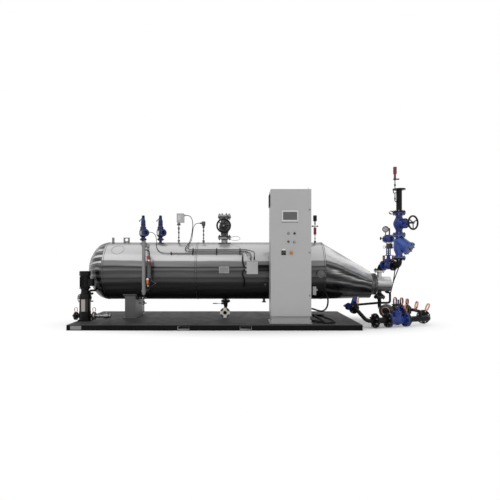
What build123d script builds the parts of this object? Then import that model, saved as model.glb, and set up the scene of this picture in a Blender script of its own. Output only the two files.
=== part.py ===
from build123d import *

import os
from math import asin, cos, pi, radians, sin, tan

# Skid-mounted kettle steam generator: an insulated horizontal vessel on two
# saddles, its control cabinet, feed pump, level and safety fittings, and the
# steam inlet and condensate trains at the channel head.
# Millimetres. X runs along the vessel to the channel head, Y runs away from
# the operator's side, Z is up. The origin is the middle of the skid's underside.

# Skid
skid_length = 4290
skid_width = 1700
rail_height = 74
rail_flange = 45
rail_web = 7
deck_thickness = 6
cross_beam_width = 60
fork_pocket_width = 170
fork_pocket_height = 56
fork_pocket_wall = 5
fork_pocket_spacing = 904
deck_top = rail_height + deck_thickness

# Vessel
vessel_radius = 476
vessel_wall = 84
vessel_y = 180
vessel_z = 842
vessel_left = -1815
vessel_right = 1717
head_depth = 330
knuckle_radius = 240
cone_end_x = 2528
cone_end_radius = 228
cone_end_z = 612
cone_end_plate = 14
neck_radius = 118
girth_flange_radius = 180
girth_flange_thickness = 40
girth_flange_gap = 6
girth_flange_start = 2545
channel_radius = 125
channel_length = 230
channel_cover = 22
channel_z = 618
vessel_top = vessel_z + vessel_radius
vessel_bottom = vessel_z - vessel_radius

# Saddles
saddle_width = 170
saddle_depth = 540
saddle_plate = 12
saddle_foot_margin = 28
saddle_pad_thickness = 10
saddle_pad_margin = 25
saddle_pad_angle = 38
saddle_left_x = -1416
saddle_right_x = 1240

# Pipe and flange sizes for one nominal bore: pipe radius, flange radius, flange thickness,
# bolt circle radius, bolt hole radius, bolt count
SMALL = dict(pipe=17, flange=58, thick=14, circle=42, hole=7, count=4)
DN40 = dict(pipe=24, flange=75, thick=18, circle=55, hole=9, count=4)
DN50 = dict(pipe=30, flange=82, thick=20, circle=62, hole=9, count=4)
DN65 = dict(pipe=38, flange=92, thick=20, circle=72, hole=9, count=4)
DN80 = dict(pipe=44.5, flange=100, thick=20, circle=80, hole=9, count=8)
DN100 = dict(pipe=54, flange=110, thick=24, circle=90, hole=9, count=8)
pipe_wall = 5

# Control cabinet
cabinet_left = 823
cabinet_width = 600
cabinet_front = -720
cabinet_depth = 400
cabinet_bottom = 190
cabinet_top = 2070
cabinet_sheet = 3
door_depth = 20
door_sheet = 2
door_gap = 10
door_hinge_inset = 10
hinge_pin_radius = 3
hinge_leaf = 16
plinth_recess = 12
plinth_foot = 10
plinth_foot_margin = 14
screen_width = 252
screen_height = 176
cabinet_right = cabinet_left + cabinet_width
cabinet_back = cabinet_front + cabinet_depth

# Steam outlet on the vessel's top
outlet_x = 103
outlet_neck = 57
outlet_face_to_face = 350
outlet_wheel_radius = 120
outlet_wheel_rim = 14
outlet_stem = 330

# Safety valves
safety_x = (-1264, -974)
safety_neck = 40

# Steam inlet train at the channel head
train_x = 2909
train_y = -191
train_angle = 62
inlet_nozzle_x = 2712
inlet_nozzle_top = 866
run_z = 930
strainer_bottom = 1053
strainer_length = 369
stop_valve_length = 352
inlet_spool_length = 388
inlet_wheel_radius = 116
inlet_stem = 275
inlet_wheel_rim = 14
strainer_leg_azimuth = 48
strainer_leg_drop = 35
strainer_leg_length = 215
strainer_leg_radius = 94
strainer_cover_radius = 112
control_valve_start = 98
control_valve_length = 200
actuator_radius = 98
drain_stub_x = 2816
drain_stub_z = 476
drain_stub_radius = 18
drain_leg_x = 2890
stay_apex = (2896, 40, 655)
stay_feet = ((2874, -125, 905), (2906, -188, 905))
stay_foot = (2890, 180, 425)
stay_radius = 8

# Condensate train on the floor
condensate_angle = 15.8
condensate_z = 110
condensate_pipe = 44
condensate_bend = 60
condensate_start = (2389, -614)
condensate_end = (3310, -142)
condensate_spool = 235
condensate_valve_length = 310
condensate_wheel_radius = 80
drop_flange_z = 400
trap_centre = (2690, -250)
trap_line_z = 218
trap_radius = 106
trap_depth = 150
trap_face_angle = 240
trap_joints = (154, 276, 380)
rejoin_x = 3162
rejoin_pipe = 26
rejoin_bend = 36
drain_valve_start = (2085, -230, 285)
drain_valve_flow = (0.35, -0.93, -0.1)
drain_line_radius = 19
drain_valve_length = 164
drain_line_z = 262
collector_radius = 29

# Feed pump
pump_x = -2035
pump_y = -402
pump_port_z = 155
pump_reach = 140
pump_flange_radius = 62

WHEEL_RIM = 9
joint_clearance = 0.3

ACROSS = Vector(cos(radians(train_angle)), -sin(radians(train_angle)), 0)
DOWNSTREAM = Vector(cos(radians(condensate_angle)), sin(radians(condensate_angle)), 0)
UP = Vector(0, 0, 1)
FRONT = Vector(0, -1, 0)
RIGHT = Vector(1, 0, 0)

parts = {}


# Shapes that the pieces share

def disc(origin, direction, radius, length):
    """A cylinder that starts at origin and runs along direction."""
    low = (Align.CENTER, Align.CENTER, Align.MIN)
    return Plane(origin=origin, z_dir=direction) * Cylinder(radius, length, align=low)


def ring(origin, direction, radius, bore, length):
    """A tube that starts at origin and runs along direction."""
    return disc(origin, direction, radius, length) - disc(origin, direction, bore, length)


def rod(start, end, radius):
    """A round bar from start to end."""
    start, end = Vector(start), Vector(end)
    return disc(start, end - start, radius, (end - start).length)


def block(x, y, z):
    """A box given by its low and high values along each axis."""
    low = (Align.MIN, Align.MIN, Align.MIN)
    return Pos(x[0], y[0], z[0]) * Box(x[1] - x[0], y[1] - y[0], z[1] - z[0], align=low)


def turned(origin, direction, profile):
    """A turned solid; profile lists (radius, distance along direction) from end to end."""
    points = [(0, profile[0][1])] + list(profile) + [(0, profile[-1][1])]
    outline = make_face(Polyline(*points, close=True))
    return Plane(origin=origin, z_dir=direction) * revolve(Plane.XZ * outline, Axis.Z)


def pipe(points, radius, bend):
    """A solid pipe along straight runs with one bend radius, or a list of them."""
    path = FilletPolyline(*points, radius=bend)
    return sweep(Plane(origin=path @ 0, z_dir=path % 0) * Circle(radius), path=path)


def flange(origin, direction, size, holes=False):
    """A welding-neck flange whose face is at origin and whose neck points along direction."""
    face = 3
    body = turned(origin, direction, [
        (size["flange"] - size["thick"], 0),
        (size["flange"] - size["thick"], face),
        (size["flange"], face),
        (size["flange"], size["thick"]),
        (size["pipe"] + 12, size["thick"]),
        (size["pipe"], size["thick"] + 20),
    ])
    if holes:
        plane = Plane(origin=origin, z_dir=direction)
        drill = Cylinder(size["hole"], 3 * size["thick"])
        for turn in range(size["count"]):
            angle = (turn + 0.5) * 360 / size["count"]
            body -= plane * (Rot(0, 0, angle) * Pos(size["circle"], 0, 0) * drill)
    return body


def flange_depth(size):
    """How far a flange reaches back from its face."""
    return size["thick"] + 20


def handwheel(centre, direction, radius, spokes=3, rim=WHEEL_RIM, stem_radius=8):
    """A handwheel with a dished hub; direction points out of its front."""
    plane = Plane(origin=centre, z_dir=direction)
    wheel = Torus(radius - rim, rim)
    hub = Cylinder(stem_radius * 2.2, 24)
    for turn in range(spokes):
        spoke = Rot(0, 0, turn * 360 / spokes + 90) * Pos((radius - rim) / 2, 0, 0)
        wheel += spoke * Box(radius - 1.5 * rim, min(rim, WHEEL_RIM) * 1.6, min(rim, WHEEL_RIM))
    wheel += hub
    wheel -= Cylinder(stem_radius + 0.05, 100)
    return plane * wheel


def globe_body(start, flow, stem, size, length, reach, bulge, bonnet, stem_radius=8):
    """A flanged globe valve body with its bonnet, yoke and stem, up to the wheel's seat."""
    start, flow, stem = Vector(start), Vector(flow).normalized(), Vector(stem).normalized()
    middle = start + flow * (length / 2)
    body = disc(start, flow, size["flange"], size["thick"])
    body += disc(start + flow * (length - size["thick"]), flow, size["flange"], size["thick"])
    body += turned(start, flow, [
        (size["pipe"] + 6, size["thick"]),
        (size["pipe"] + 8, length * 0.22),
        (bulge * 0.86, length * 0.36),
        (bulge, length * 0.46),
        (bulge, length * 0.56),
        (bulge * 0.84, length * 0.66),
        (size["pipe"] + 8, length * 0.80),
        (size["pipe"] + 6, length - size["thick"]),
    ])
    bonnet_low = bulge * 1.12
    bonnet_thick = bonnet * 0.42
    body += disc(middle, stem, bulge * 0.86, bonnet_low)
    body += disc(middle + stem * bonnet_low, stem, bonnet, bonnet_thick)
    yoke_start = bonnet_low + bonnet_thick
    body += turned(middle + stem * yoke_start, stem, [
        (bonnet * 0.62, 0),
        (bonnet * 0.36, bonnet * 0.36),
        (bonnet * 0.36, bonnet * 0.56),
    ])
    side = stem.cross(flow)
    yoke_plane = Plane(origin=middle + stem * yoke_start, x_dir=side, z_dir=stem)
    hub_back = bonnet * 0.42
    yoke_length = reach - yoke_start - hub_back
    arm = bonnet * 0.5
    arm_thick = bonnet * 0.16
    low = (Align.CENTER, Align.CENTER, Align.MIN)
    for turn in (-1, 1):
        arm_bar = Box(arm_thick, bonnet * 0.26, yoke_length, align=low)
        body += yoke_plane * (Pos(turn * arm, 0, 0) * arm_bar)
    bridge = Box(2 * arm + arm_thick, bonnet * 0.34, bonnet * 0.2, align=low)
    body += yoke_plane * (Pos(0, 0, yoke_length - bonnet * 0.2) * bridge)
    body += disc(middle + stem * yoke_start, stem, stem_radius, reach - yoke_start + 22)
    return body


def at_vessel(x, angle, out=0.0):
    """The point on the vessel at x whose direction rises by angle from the front."""
    reach = vessel_radius + out
    return Vector(x, vessel_y - reach * cos(radians(angle)), vessel_z + reach * sin(radians(angle)))


# Vessel

vessel_axis = Vector(vessel_left, vessel_y, vessel_z)


def cone(radius_in, radius_out, start_x, end_x):
    """The eccentric cone between the vessel and the channel, as a loft of two circles."""
    big = Plane(origin=(start_x, vessel_y, vessel_z), z_dir=RIGHT) * Circle(radius_in)
    small = Plane(origin=(end_x, vessel_y, cone_end_z), z_dir=RIGHT) * Circle(radius_out)
    return loft([big, small], ruled=True)


def dome(inset, wall=None):
    """The dished head: a crown arc and a knuckle arc, turned about the vessel's axis."""
    knuckle_centre = vessel_radius - knuckle_radius
    crown_radius = (knuckle_centre**2 + head_depth**2 - knuckle_radius**2) / (2 * (head_depth - knuckle_radius))
    rise = asin((crown_radius - head_depth) / (crown_radius - knuckle_radius))

    def arcs(inset):
        """The knuckle and crown arcs, moved in by inset, and the crown's top point."""
        def point(radius, centre, angle):
            return (centre[0] + radius * cos(angle), centre[1] + radius * sin(angle))

        knuckle, crown = knuckle_radius - inset, crown_radius - inset
        low, high = (knuckle_centre, 0), (0, head_depth - crown_radius)
        middle = (rise + pi / 2) / 2
        return [
            ThreePointArc(point(knuckle, low, 0), point(knuckle, low, rise / 2), point(knuckle, low, rise)),
            ThreePointArc(point(crown, high, rise), point(crown, high, middle), point(crown, high, pi / 2)),
        ]

    outer = arcs(inset)
    if wall is None:
        edges = outer + [Line(outer[1] @ 1, (0, 0)), Line((0, 0), outer[0] @ 0)]
    else:
        inner = arcs(inset + wall)
        edges = outer + inner + [Line(outer[1] @ 1, inner[1] @ 1), Line(inner[0] @ 0, outer[0] @ 0)]
    solid = revolve(Plane.XZ * make_face(edges), Axis.Z)
    return Plane(origin=vessel_axis, z_dir=-RIGHT) * solid


vessel_core = disc(vessel_axis, RIGHT, vessel_radius, vessel_right - vessel_left)
dome_core = dome(0)
cone_core = cone(vessel_radius, cone_end_radius, vessel_right, cone_end_x)


def clear_of_vessel(piece):
    """The piece with what would lie inside the vessel cut away."""
    return piece - vessel_core


def make_vessel():
    bore = vessel_radius - vessel_wall
    parts["shell"] = ring(vessel_axis, RIGHT, vessel_radius, bore, vessel_right - vessel_left)
    parts["shell_head"] = dome(0, vessel_wall)
    cone_bore = cone(bore, cone_end_radius - vessel_wall, vessel_right, cone_end_x - cone_end_plate)
    shell_cone = cone_core - cone_bore
    neck_axis = Vector(cone_end_x, vessel_y, channel_z)
    shell_cone += disc(neck_axis, RIGHT, neck_radius, girth_flange_start - cone_end_x)
    parts["shell_cone"] = shell_cone

    first = Vector(girth_flange_start, vessel_y, channel_z)
    second = first + RIGHT * (girth_flange_thickness + girth_flange_gap)
    tube_sheet = disc(first + RIGHT * girth_flange_thickness, RIGHT, girth_flange_radius - 30, girth_flange_gap)
    flanges = disc(first, RIGHT, girth_flange_radius, girth_flange_thickness)
    flanges += disc(second, RIGHT, girth_flange_radius, girth_flange_thickness)
    flanges += tube_sheet
    parts["girth_flanges"] = flanges

    channel_start = second + RIGHT * girth_flange_thickness
    channel = disc(channel_start, RIGHT, channel_radius, channel_length)
    nozzle_base = Vector(inlet_nozzle_x, vessel_y, channel_z)
    nozzle_length = inlet_nozzle_top - DN65["thick"] - channel_z
    channel += disc(nozzle_base, UP, DN65["pipe"], nozzle_length - 20)
    channel += flange(nozzle_base + UP * nozzle_length, -UP, DN65)
    channel += turned(Vector(inlet_nozzle_x, vessel_y, drop_flange_z), UP, [
        (DN65["flange"], 0),
        (DN65["flange"], 16),
        (DN65["pipe"] + 8, 56),
        (DN50["pipe"] + 4, 70),
        (DN50["pipe"] + 4, channel_z - drop_flange_z - channel_radius + 30),
    ])
    parts["channel_head"] = channel
    cover_start = channel_start + RIGHT * channel_length
    parts["channel_cover"] = disc(cover_start, RIGHT, channel_radius - 2, channel_cover)

    saddle_side = saddle_width / 2
    saddles = []
    for x in (saddle_left_x, saddle_right_x):
        foot_y = saddle_depth / 2 + saddle_foot_margin
        foot = block(
            (x - saddle_side - saddle_foot_margin, x + saddle_side + saddle_foot_margin),
            (vessel_y - foot_y, vessel_y + foot_y),
            (deck_top, deck_top + saddle_plate),
        )
        column = block(
            (x - saddle_side, x + saddle_side),
            (vessel_y - saddle_depth / 2, vessel_y + saddle_depth / 2),
            (deck_top, vessel_z),
        )
        pad_length = saddle_width + 2 * saddle_pad_margin
        pad_start = Vector(x - pad_length / 2, vessel_y, vessel_z)
        pad = disc(pad_start, RIGHT, vessel_radius + saddle_pad_thickness, pad_length)
        pad_half = vessel_radius * sin(radians(saddle_pad_angle))
        pad &= block(
            (x - pad_length, x + pad_length),
            (vessel_y - pad_half, vessel_y + pad_half),
            (0, vessel_z),
        )
        saddles.append(clear_of_vessel(foot + column + pad))
    parts["saddles"] = Compound(children=saddles)

    lugs = []
    for x, thickness in ((-1769, 15), (-1544, 103)):
        depth = 12 if thickness > 50 else 90
        lug = block(
            (x - thickness / 2, x + thickness / 2),
            (vessel_y - depth / 2, vessel_y + depth / 2),
            (vessel_top - 20, vessel_top + 80),
        )
        if thickness > 50:
            lug -= disc(Vector(x, vessel_y + 50, vessel_top + 42), FRONT, 26, 100)
        else:
            lug -= disc(Vector(x - 50, vessel_y, vessel_top + 42), RIGHT, 26, 100)
        lugs.append(clear_of_vessel(lug))
    parts["lifting_lugs"] = Compound(children=lugs)


# Skid

def make_skid():
    half_x, half_y = skid_length / 2, skid_width / 2
    rail_section = (rail_flange, rail_web)

    def channel_rail(length):
        """A channel along X with its web at -Y, its middle at the origin."""
        outer = block((-length / 2, length / 2), (0, rail_section[0]), (0, rail_height))
        inner = block(
            (-length / 2, length / 2),
            (rail_section[1], rail_section[0]),
            (rail_section[1] + 1, rail_height - rail_section[1] - 1),
        )
        return outer - inner

    frame = Pos(0, -half_y, 0) * channel_rail(skid_length)
    frame += Pos(0, half_y, 0) * Rot(0, 0, 180) * channel_rail(skid_length)
    frame += Pos(-half_x, 0, 0) * Rot(0, 0, -90) * channel_rail(skid_width)
    frame += Pos(half_x, 0, 0) * Rot(0, 0, 90) * channel_rail(skid_width)
    for x in (saddle_left_x, cabinet_left, saddle_right_x):
        frame += block(
            (x - cross_beam_width / 2, x + cross_beam_width / 2),
            (-half_y + rail_web, half_y - rail_web),
            (0, rail_height),
        )
    pocket_low = (rail_height - fork_pocket_height) / 2
    for side in (-1, 1):
        x = side * fork_pocket_spacing / 2
        width = fork_pocket_width / 2
        tube = block(
            (x - width - fork_pocket_wall, x + width + fork_pocket_wall),
            (-half_y, half_y),
            (0, rail_height),
        )
        mouth = block(
            (x - width, x + width),
            (-half_y - 1, half_y + 1),
            (pocket_low, pocket_low + fork_pocket_height),
        )
        frame = frame + tube - mouth
    parts["skid_frame"] = frame
    parts["skid_deck"] = block((-half_x, half_x), (-half_y, half_y), (rail_height, deck_top))


# Control cabinet

def make_cabinet():
    body_front = cabinet_front + door_depth + door_gap
    outer = block((cabinet_left, cabinet_right), (body_front, cabinet_back), (cabinet_bottom, cabinet_top))
    inner = block(
        (cabinet_left + cabinet_sheet, cabinet_right - cabinet_sheet),
        (body_front - 1, cabinet_back - cabinet_sheet),
        (cabinet_bottom + cabinet_sheet, cabinet_top - cabinet_sheet),
    )
    body = outer - inner
    lip = 25
    mouth = block(
        (cabinet_left + lip, cabinet_right - lip),
        (body_front - 1, body_front + 10),
        (cabinet_bottom + lip, cabinet_top - lip),
    )
    frame = block(
        (cabinet_left + cabinet_sheet, cabinet_right - cabinet_sheet),
        (body_front, body_front + cabinet_sheet),
        (cabinet_bottom + cabinet_sheet, cabinet_top - cabinet_sheet),
    )
    body += frame - mouth

    axis_x = cabinet_left + door_hinge_inset
    axis_y = cabinet_front + door_hinge_inset
    hinge_heights = [cabinet_bottom + 200, (cabinet_bottom + cabinet_top) / 2, cabinet_top - 200]
    for height in hinge_heights:
        arm = Plane(origin=(axis_x, axis_y, height)) * Rot(0, 0, 52) * Pos(18, 0, 0) * Box(44, 8, hinge_leaf)
        arm -= block((axis_x - 40, axis_x + 60), (body_front + 1, body_front + 60), (height - 20, height + 20))
        body += arm
        body += disc(Vector(axis_x, axis_y, height - 40), UP, hinge_pin_radius, 80)
    body += disc(Vector(1385, cabinet_front + 60, cabinet_top - 1), UP, 4, 30)
    body += disc(Vector(cabinet_right - 1, cabinet_back - 25, 262), RIGHT, 19, 25)
    parts["cabinet_body"] = body
    vent = block((cabinet_left - 16, cabinet_left), (cabinet_back - 290, cabinet_back - 90), (1826, 2010))
    vent = chamfer(vent.edges().filter_by(Axis.Z).sort_by(Axis.X)[:2], 10)
    for row in range(8):
        z = 1842 + row * 20
        vent -= block((cabinet_left - 17, cabinet_left - 10), (cabinet_back - 270, cabinet_back - 110), (z, z + 11))
    parts["cabinet_vent"] = vent

    panel = block(
        (cabinet_left + 40, cabinet_right - 40),
        (cabinet_back - cabinet_sheet - 22, cabinet_back - cabinet_sheet - 19),
        (cabinet_bottom + 60, cabinet_top - 60),
    )
    for x in (cabinet_left + 70, cabinet_right - 70):
        for z in (cabinet_bottom + 100, cabinet_top - 100):
            panel += disc(Vector(x, cabinet_back - cabinet_sheet, z), FRONT, 8, 20)
    parts["mounting_plate"] = panel

    door_back = cabinet_front + door_depth
    door = block((cabinet_left, cabinet_right), (cabinet_front, door_back), (cabinet_bottom, cabinet_top))
    door = fillet(door.edges().filter_by(Axis.Z).sort_by(Axis.Y)[:2], 3)
    door -= block(
        (cabinet_left + door_sheet, cabinet_right - door_sheet),
        (cabinet_front + door_sheet, door_back + 1),
        (cabinet_bottom + door_sheet, cabinet_top - door_sheet),
    )
    for height in hinge_heights:
        door -= block(
            (cabinet_left - 1, cabinet_left + door_sheet + 1),
            (cabinet_front + 6, door_back + 1),
            (height - hinge_leaf, height + hinge_leaf),
        )
        for side in (-1, 1):
            knuckle = block(
                (axis_x - 6, axis_x + 6),
                (cabinet_front + 1, axis_y + 6),
                (height + side * 29 - 10, height + side * 29 + 10),
            )
            door += knuckle
        door -= disc(Vector(axis_x, axis_y, height - 41), UP, hinge_pin_radius + 0.05, 82)
    for z in (494, 1130, 1765):
        door += disc(Vector(cabinet_right - 24, cabinet_front + 1, z), FRONT, 12, 7)
    parts["cabinet_door"] = door

    sx, sz = cabinet_left + 285, 1672
    screen = block(
        (sx - screen_width / 2, sx + screen_width / 2),
        (cabinet_front - 8, cabinet_front),
        (sz - screen_height / 2, sz + screen_height / 2),
    )
    screen -= block((sx - 97, sx + 97), (cabinet_front - 9, cabinet_front - 5), (sz - 52, sz + 52))

    controls = []
    for x, z, radius, out in (
        (cabinet_left + 262, 1414, 13, 10),
        (cabinet_left + 352, 1414, 16, 24),
        (cabinet_left + 260, 1292, 15, 12),
        (cabinet_left + 346, 1282, 15, 12),
        (cabinet_left + 190, 1127, 26, 34),
        (cabinet_left + 303, 1127, 24, 30),
    ):
        controls.append(turned(Vector(x, cabinet_front, z), FRONT, [
            (radius + 3, 0),
            (radius + 3, 4),
            (radius, 4),
            (radius, out - 2),
            (radius - 2, out),
        ]))
    parts["door_controls"] = Compound(children=[screen] + controls)

    recess = plinth_recess
    plinth = block(
        (cabinet_left + recess, cabinet_right - recess),
        (body_front + recess, cabinet_back - recess),
        (deck_top + plinth_foot, cabinet_bottom),
    )
    plinth -= block(
        (cabinet_left + recess + 4, cabinet_right - recess - 4),
        (body_front + recess + 4, cabinet_back - recess - 4),
        (deck_top + plinth_foot, cabinet_bottom - 4),
    )
    plinth += block(
        (cabinet_left - plinth_foot_margin, cabinet_right + plinth_foot_margin),
        (cabinet_front - plinth_foot_margin, cabinet_back + plinth_foot_margin),
        (deck_top, deck_top + plinth_foot),
    )
    parts["cabinet_plinth"] = plinth


# Fittings on the vessel

conduit_angles = (44.8, 40.5, 35.6)
conduit_starts = (-380, -410, -730)
flexible_radius = 12
conduit_end = 366

def make_steam_outlet():
    base = Vector(outlet_x, vessel_y, vessel_top - 20)
    face = vessel_top + outlet_neck + DN100["thick"]
    neck = disc(base, UP, DN100["pipe"], face - vessel_top + 20 - flange_depth(DN100) + 1)
    neck += flange(Vector(outlet_x, vessel_y, face), -UP, DN100)
    nozzle = clear_of_vessel(neck)
    start = Vector(outlet_x, vessel_y, face)
    parts["steam_outlet_valve"] = globe_body(
        start, UP, FRONT, DN100, outlet_face_to_face, outlet_stem, 92, 78)
    middle = start + UP * (outlet_face_to_face / 2)
    parts["steam_outlet_handwheel"] = handwheel(
        middle + FRONT * outlet_stem, FRONT, outlet_wheel_radius, 5, outlet_wheel_rim)
    end = start + UP * outlet_face_to_face
    top = end + UP * DN100["thick"]
    companion = ring(end, UP, DN100["flange"], DN100["pipe"] - pipe_wall, DN100["thick"])
    for turn in range(DN100["count"]):
        angle = (turn + 0.5) * 360 / DN100["count"]
        hole = Plane(origin=top) * Rot(0, 0, angle) * Pos(DN100["circle"], 0, 0)
        companion -= hole * Cylinder(DN100["hole"], 3 * DN100["thick"])
    parts["steam_outlet_flanges"] = Compound(children=[nozzle, companion])


def make_safety_valves():
    outlet = Vector(sin(radians(35)), -cos(radians(35)), 0)
    valves = []
    for number, x in enumerate(safety_x):
        base = Vector(x, vessel_y, vessel_top)
        face = base + UP * safety_neck
        valve = disc(base - UP * 20, UP, 24, 20 + safety_neck)
        valve += disc(face, UP, 57, 18)
        valve += turned(face + UP * 18, UP, [
            (34, 0),
            (34, 26),
            (58, 50),
            (66, 90),
            (66, 130),
            (56, 160),
            (48, 176),
            (52, 178),
            (52, 196),
            (40, 198),
            (38, 230),
            (36, 310),
            (27, 330),
            (27, 352),
            (22, 354),
            (22, 384),
            (14, 392),
        ])
        out = face + UP * 118
        valve += disc(out, outlet, 42, 100)
        valve += disc(out + outlet * 82, outlet, 64, 20)
        valve -= disc(out + outlet * 60, outlet, 30, 60)
        valve += rod(face + UP * 392, face + UP * 392 + Vector(-62, 0, -72), 6)
        if number == 0:
            valve += disc(base + Vector(0, 15, 172), RIGHT, 9, safety_cable_start[0] - x)
        valves.append(clear_of_vessel(valve))
    parts["safety_valves"] = Compound(children=valves)


def make_sensors():
    rod_x, box_x = -666, -636
    probe = clear_of_vessel(disc(Vector(rod_x, vessel_y, vessel_top - 30), UP, 8, 270))
    probe += disc(Vector(rod_x, vessel_y, vessel_top + 240), UP, 7, 82)
    for height, radius, length in ((12, 20, 26), (70, 14, 22), (150, 14, 30), (215, 16, 40), (285, 30, 30)):
        probe += disc(Vector(rod_x, vessel_y, vessel_top + height), UP, radius, length)
    box_low = vessel_top + 331
    box = block((box_x - 60, box_x + 60), (vessel_y - 45, vessel_y + 45), (box_low, box_low + 153))
    box = fillet(box.edges().filter_by(Axis.Y), 8)
    box += disc(Vector(box_x + 60, vessel_y, 1772), RIGHT, 14, 24)
    box += disc(Vector(rod_x, vessel_y, vessel_top + 315), UP, 22, 16)
    box -= probe

    second_x = -249
    thermo = clear_of_vessel(disc(Vector(second_x, vessel_y, vessel_top - 30), UP, 7, 350))
    for height, radius, length in ((4, 20, 30), (60, 12, 20), (110, 12, 34), (180, 13, 30), (240, 18, 40)):
        thermo += disc(Vector(second_x, vessel_y, vessel_top + height), UP, radius, length)
    thermo += disc(Vector(second_x, vessel_y, vessel_top + 280), UP, 30, 62)
    thermo += disc(Vector(second_x, vessel_y, vessel_top + 322), -RIGHT, 13, 62)
    parts["probe_rods"] = Compound(children=[probe, thermo])

    cap_x = vessel_right - 90
    transmitter = clear_of_vessel(disc(Vector(cap_x, vessel_y, vessel_top - 30), UP, 7, 160))
    transmitter += disc(Vector(cap_x, vessel_y, vessel_top), UP, 18, 24)
    transmitter += disc(Vector(cap_x, vessel_y, vessel_top + 130), UP, 24, 118)
    transmitter += disc(Vector(cap_x, vessel_y, vessel_top + 248), UP, 9, 50)
    transmitter += disc(Vector(cap_x - 40, vessel_y, vessel_top + 272), RIGHT, 11, 80)
    transmitter += disc(Vector(cap_x, vessel_y, vessel_top + 298), UP, 10, 60)
    transmitter += disc(Vector(cap_x, vessel_y, vessel_top + 358), UP, 30, 96)
    return box, transmitter


def make_level_gear():
    x, y, top, bottom = -1125, -400, 1300, 500
    column = disc(Vector(x, y, bottom), UP, 28, top - bottom)
    for z, reach in ((1240, 330), (540, 230)):
        column += clear_of_vessel(disc(Vector(x, y, z), Vector(0, 1, 0), 20, reach + 120))
    column += disc(Vector(x, y, top), UP, 34, 15)
    column += disc(Vector(x, y, bottom - 16), UP, 22, 16)
    parts["level_column"] = column

    gauge_x = -1040
    gauge = pipe([(x + 28, y, 1176), (gauge_x, y, 1176), (gauge_x, y, 1040)], 9, 40)
    gauge += pipe([(x + 28, y, 540), (gauge_x, y, 540), (gauge_x, y, 690)], 9, 40)
    gauge += disc(Vector(gauge_x, y, 985), UP, 19, 70)
    gauge += disc(Vector(gauge_x, y, 650), UP, 19, 90)
    gauge += block((gauge_x - 26, gauge_x + 26), (y - 24, y + 24), (740, 985))
    gauge += disc(Vector(gauge_x, y, 1021), FRONT, 13, 46)
    gauge += disc(Vector(gauge_x, y, 690), FRONT, 13, 46)

    drain = disc(Vector(x, y, 215), UP, 9, bottom - 16 - 215)
    for z in (440, 359):
        drain += disc(Vector(x, y, z - 24), UP, 17, 48)
        drain += disc(Vector(x, y, z), FRONT, 8, 58)
        drain += block((x - 46, x + 46), (y - 62, y - 52), (z - 6, z + 6))
        drain += block((x - 6, x + 6), (y - 62, y - 52), (z - 24, z + 24))
    parts["level_gauge"] = Compound(children=[gauge, drain])


def make_conduits():
    clamp_x = (-730, -386, -7, 366)
    lines = []
    for angle, start in zip(conduit_angles, conduit_starts):
        begin = at_vessel(start, angle, 16)
        lines.append(disc(begin, RIGHT, 9, conduit_end - start))
    box_x, box_low, box_high = (471, 645), 802, 996
    box_back = vessel_y - vessel_radius - 6
    box_front = box_back - 95
    ends = (592, 537)
    for angle, end_x in zip(conduit_angles, ends):
        begin = at_vessel(conduit_end, angle, 16)
        gland_y = box_back - 48
        points = [begin, begin + RIGHT * 90, (end_x, gland_y, begin.Z - 40), (end_x, gland_y, box_high + 24)]
        lines.append(pipe(points, 9, 42))
    begin = at_vessel(conduit_end, conduit_angles[2], 16)
    lines.append(pipe([
        begin,
        begin + RIGHT * 42,
        Vector(408, -298, 1010),
        Vector(425, -345, 925),
        Vector(450, -345, 925),
    ], flexible_radius, [20, 30, 20]))
    clamps = []
    for index, x in enumerate(clamp_x):
        low, high = (33.4, 47.2) if index > 0 else (33.4, 37.8)
        band = ring(Vector(x - 8, vessel_y, vessel_z), RIGHT, vessel_radius + 30, vessel_radius, 16)
        wedge_face = make_face(Polyline(
            (0, 0),
            (2000 * cos(radians(low)), 2000 * sin(radians(low))),
            (2000 * cos(radians(high)), 2000 * sin(radians(high))),
            close=True,
        ))
        wedge = extrude(Plane(origin=(x - 20, vessel_y, vessel_z), x_dir=FRONT, z_dir=-RIGHT) * wedge_face, 40, both=True)
        band &= wedge
        for angle in conduit_angles[0 if index > 0 else 2:]:
            band -= disc(at_vessel(x - 20, angle, 16), RIGHT, 9, 40)
        if x > conduit_end - 20:
            band -= disc(at_vessel(x - 20, conduit_angles[2], 16), RIGHT, flexible_radius, 40)
        clamps.append(band)
    parts["conduit_clamps"] = Compound(children=clamps)

    box = block(box_x, (box_front, box_back), (box_low, box_high))
    box = fillet(box.edges().filter_by(Axis.Y), 6)
    box += clear_of_vessel(block((500, 616), (box_back, vessel_y - 330), (840, 958)))
    for end_x in ends:
        box += disc(Vector(end_x, box_back - 48, box_high), UP, 14, 24)
    for z in (925, 868):
        box += disc(Vector(box_x[0], box_back - 43, z), -RIGHT, 14, 21)
    junction = box

    for z in (934, 899, 862):
        lines.append(disc(Vector(box_x[1], box_back - 43, z), RIGHT, 13, cabinet_left - box_x[1]))
    lines.append(pipe([
        Vector(450, box_back - 43, 868),
        Vector(424, box_back - 43, 868),
        Vector(402, vessel_y - vessel_radius - 34, 800),
        Vector(436, vessel_y - vessel_radius - 10, 700),
        Vector(430, vessel_y - 425, 585),
    ], flexible_radius, [20, 30, 60]))
    parts["conduits"] = Compound(children=lines)

    plate = block((36, 196), (vessel_y - vessel_radius - 14, vessel_y - vessel_radius - 11), (813, 921))
    plate += clear_of_vessel(block((100, 132), (vessel_y - vessel_radius - 11, vessel_y - 400), (850, 884)))
    parts["nameplate_bracket"] = plate
    return junction


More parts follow.
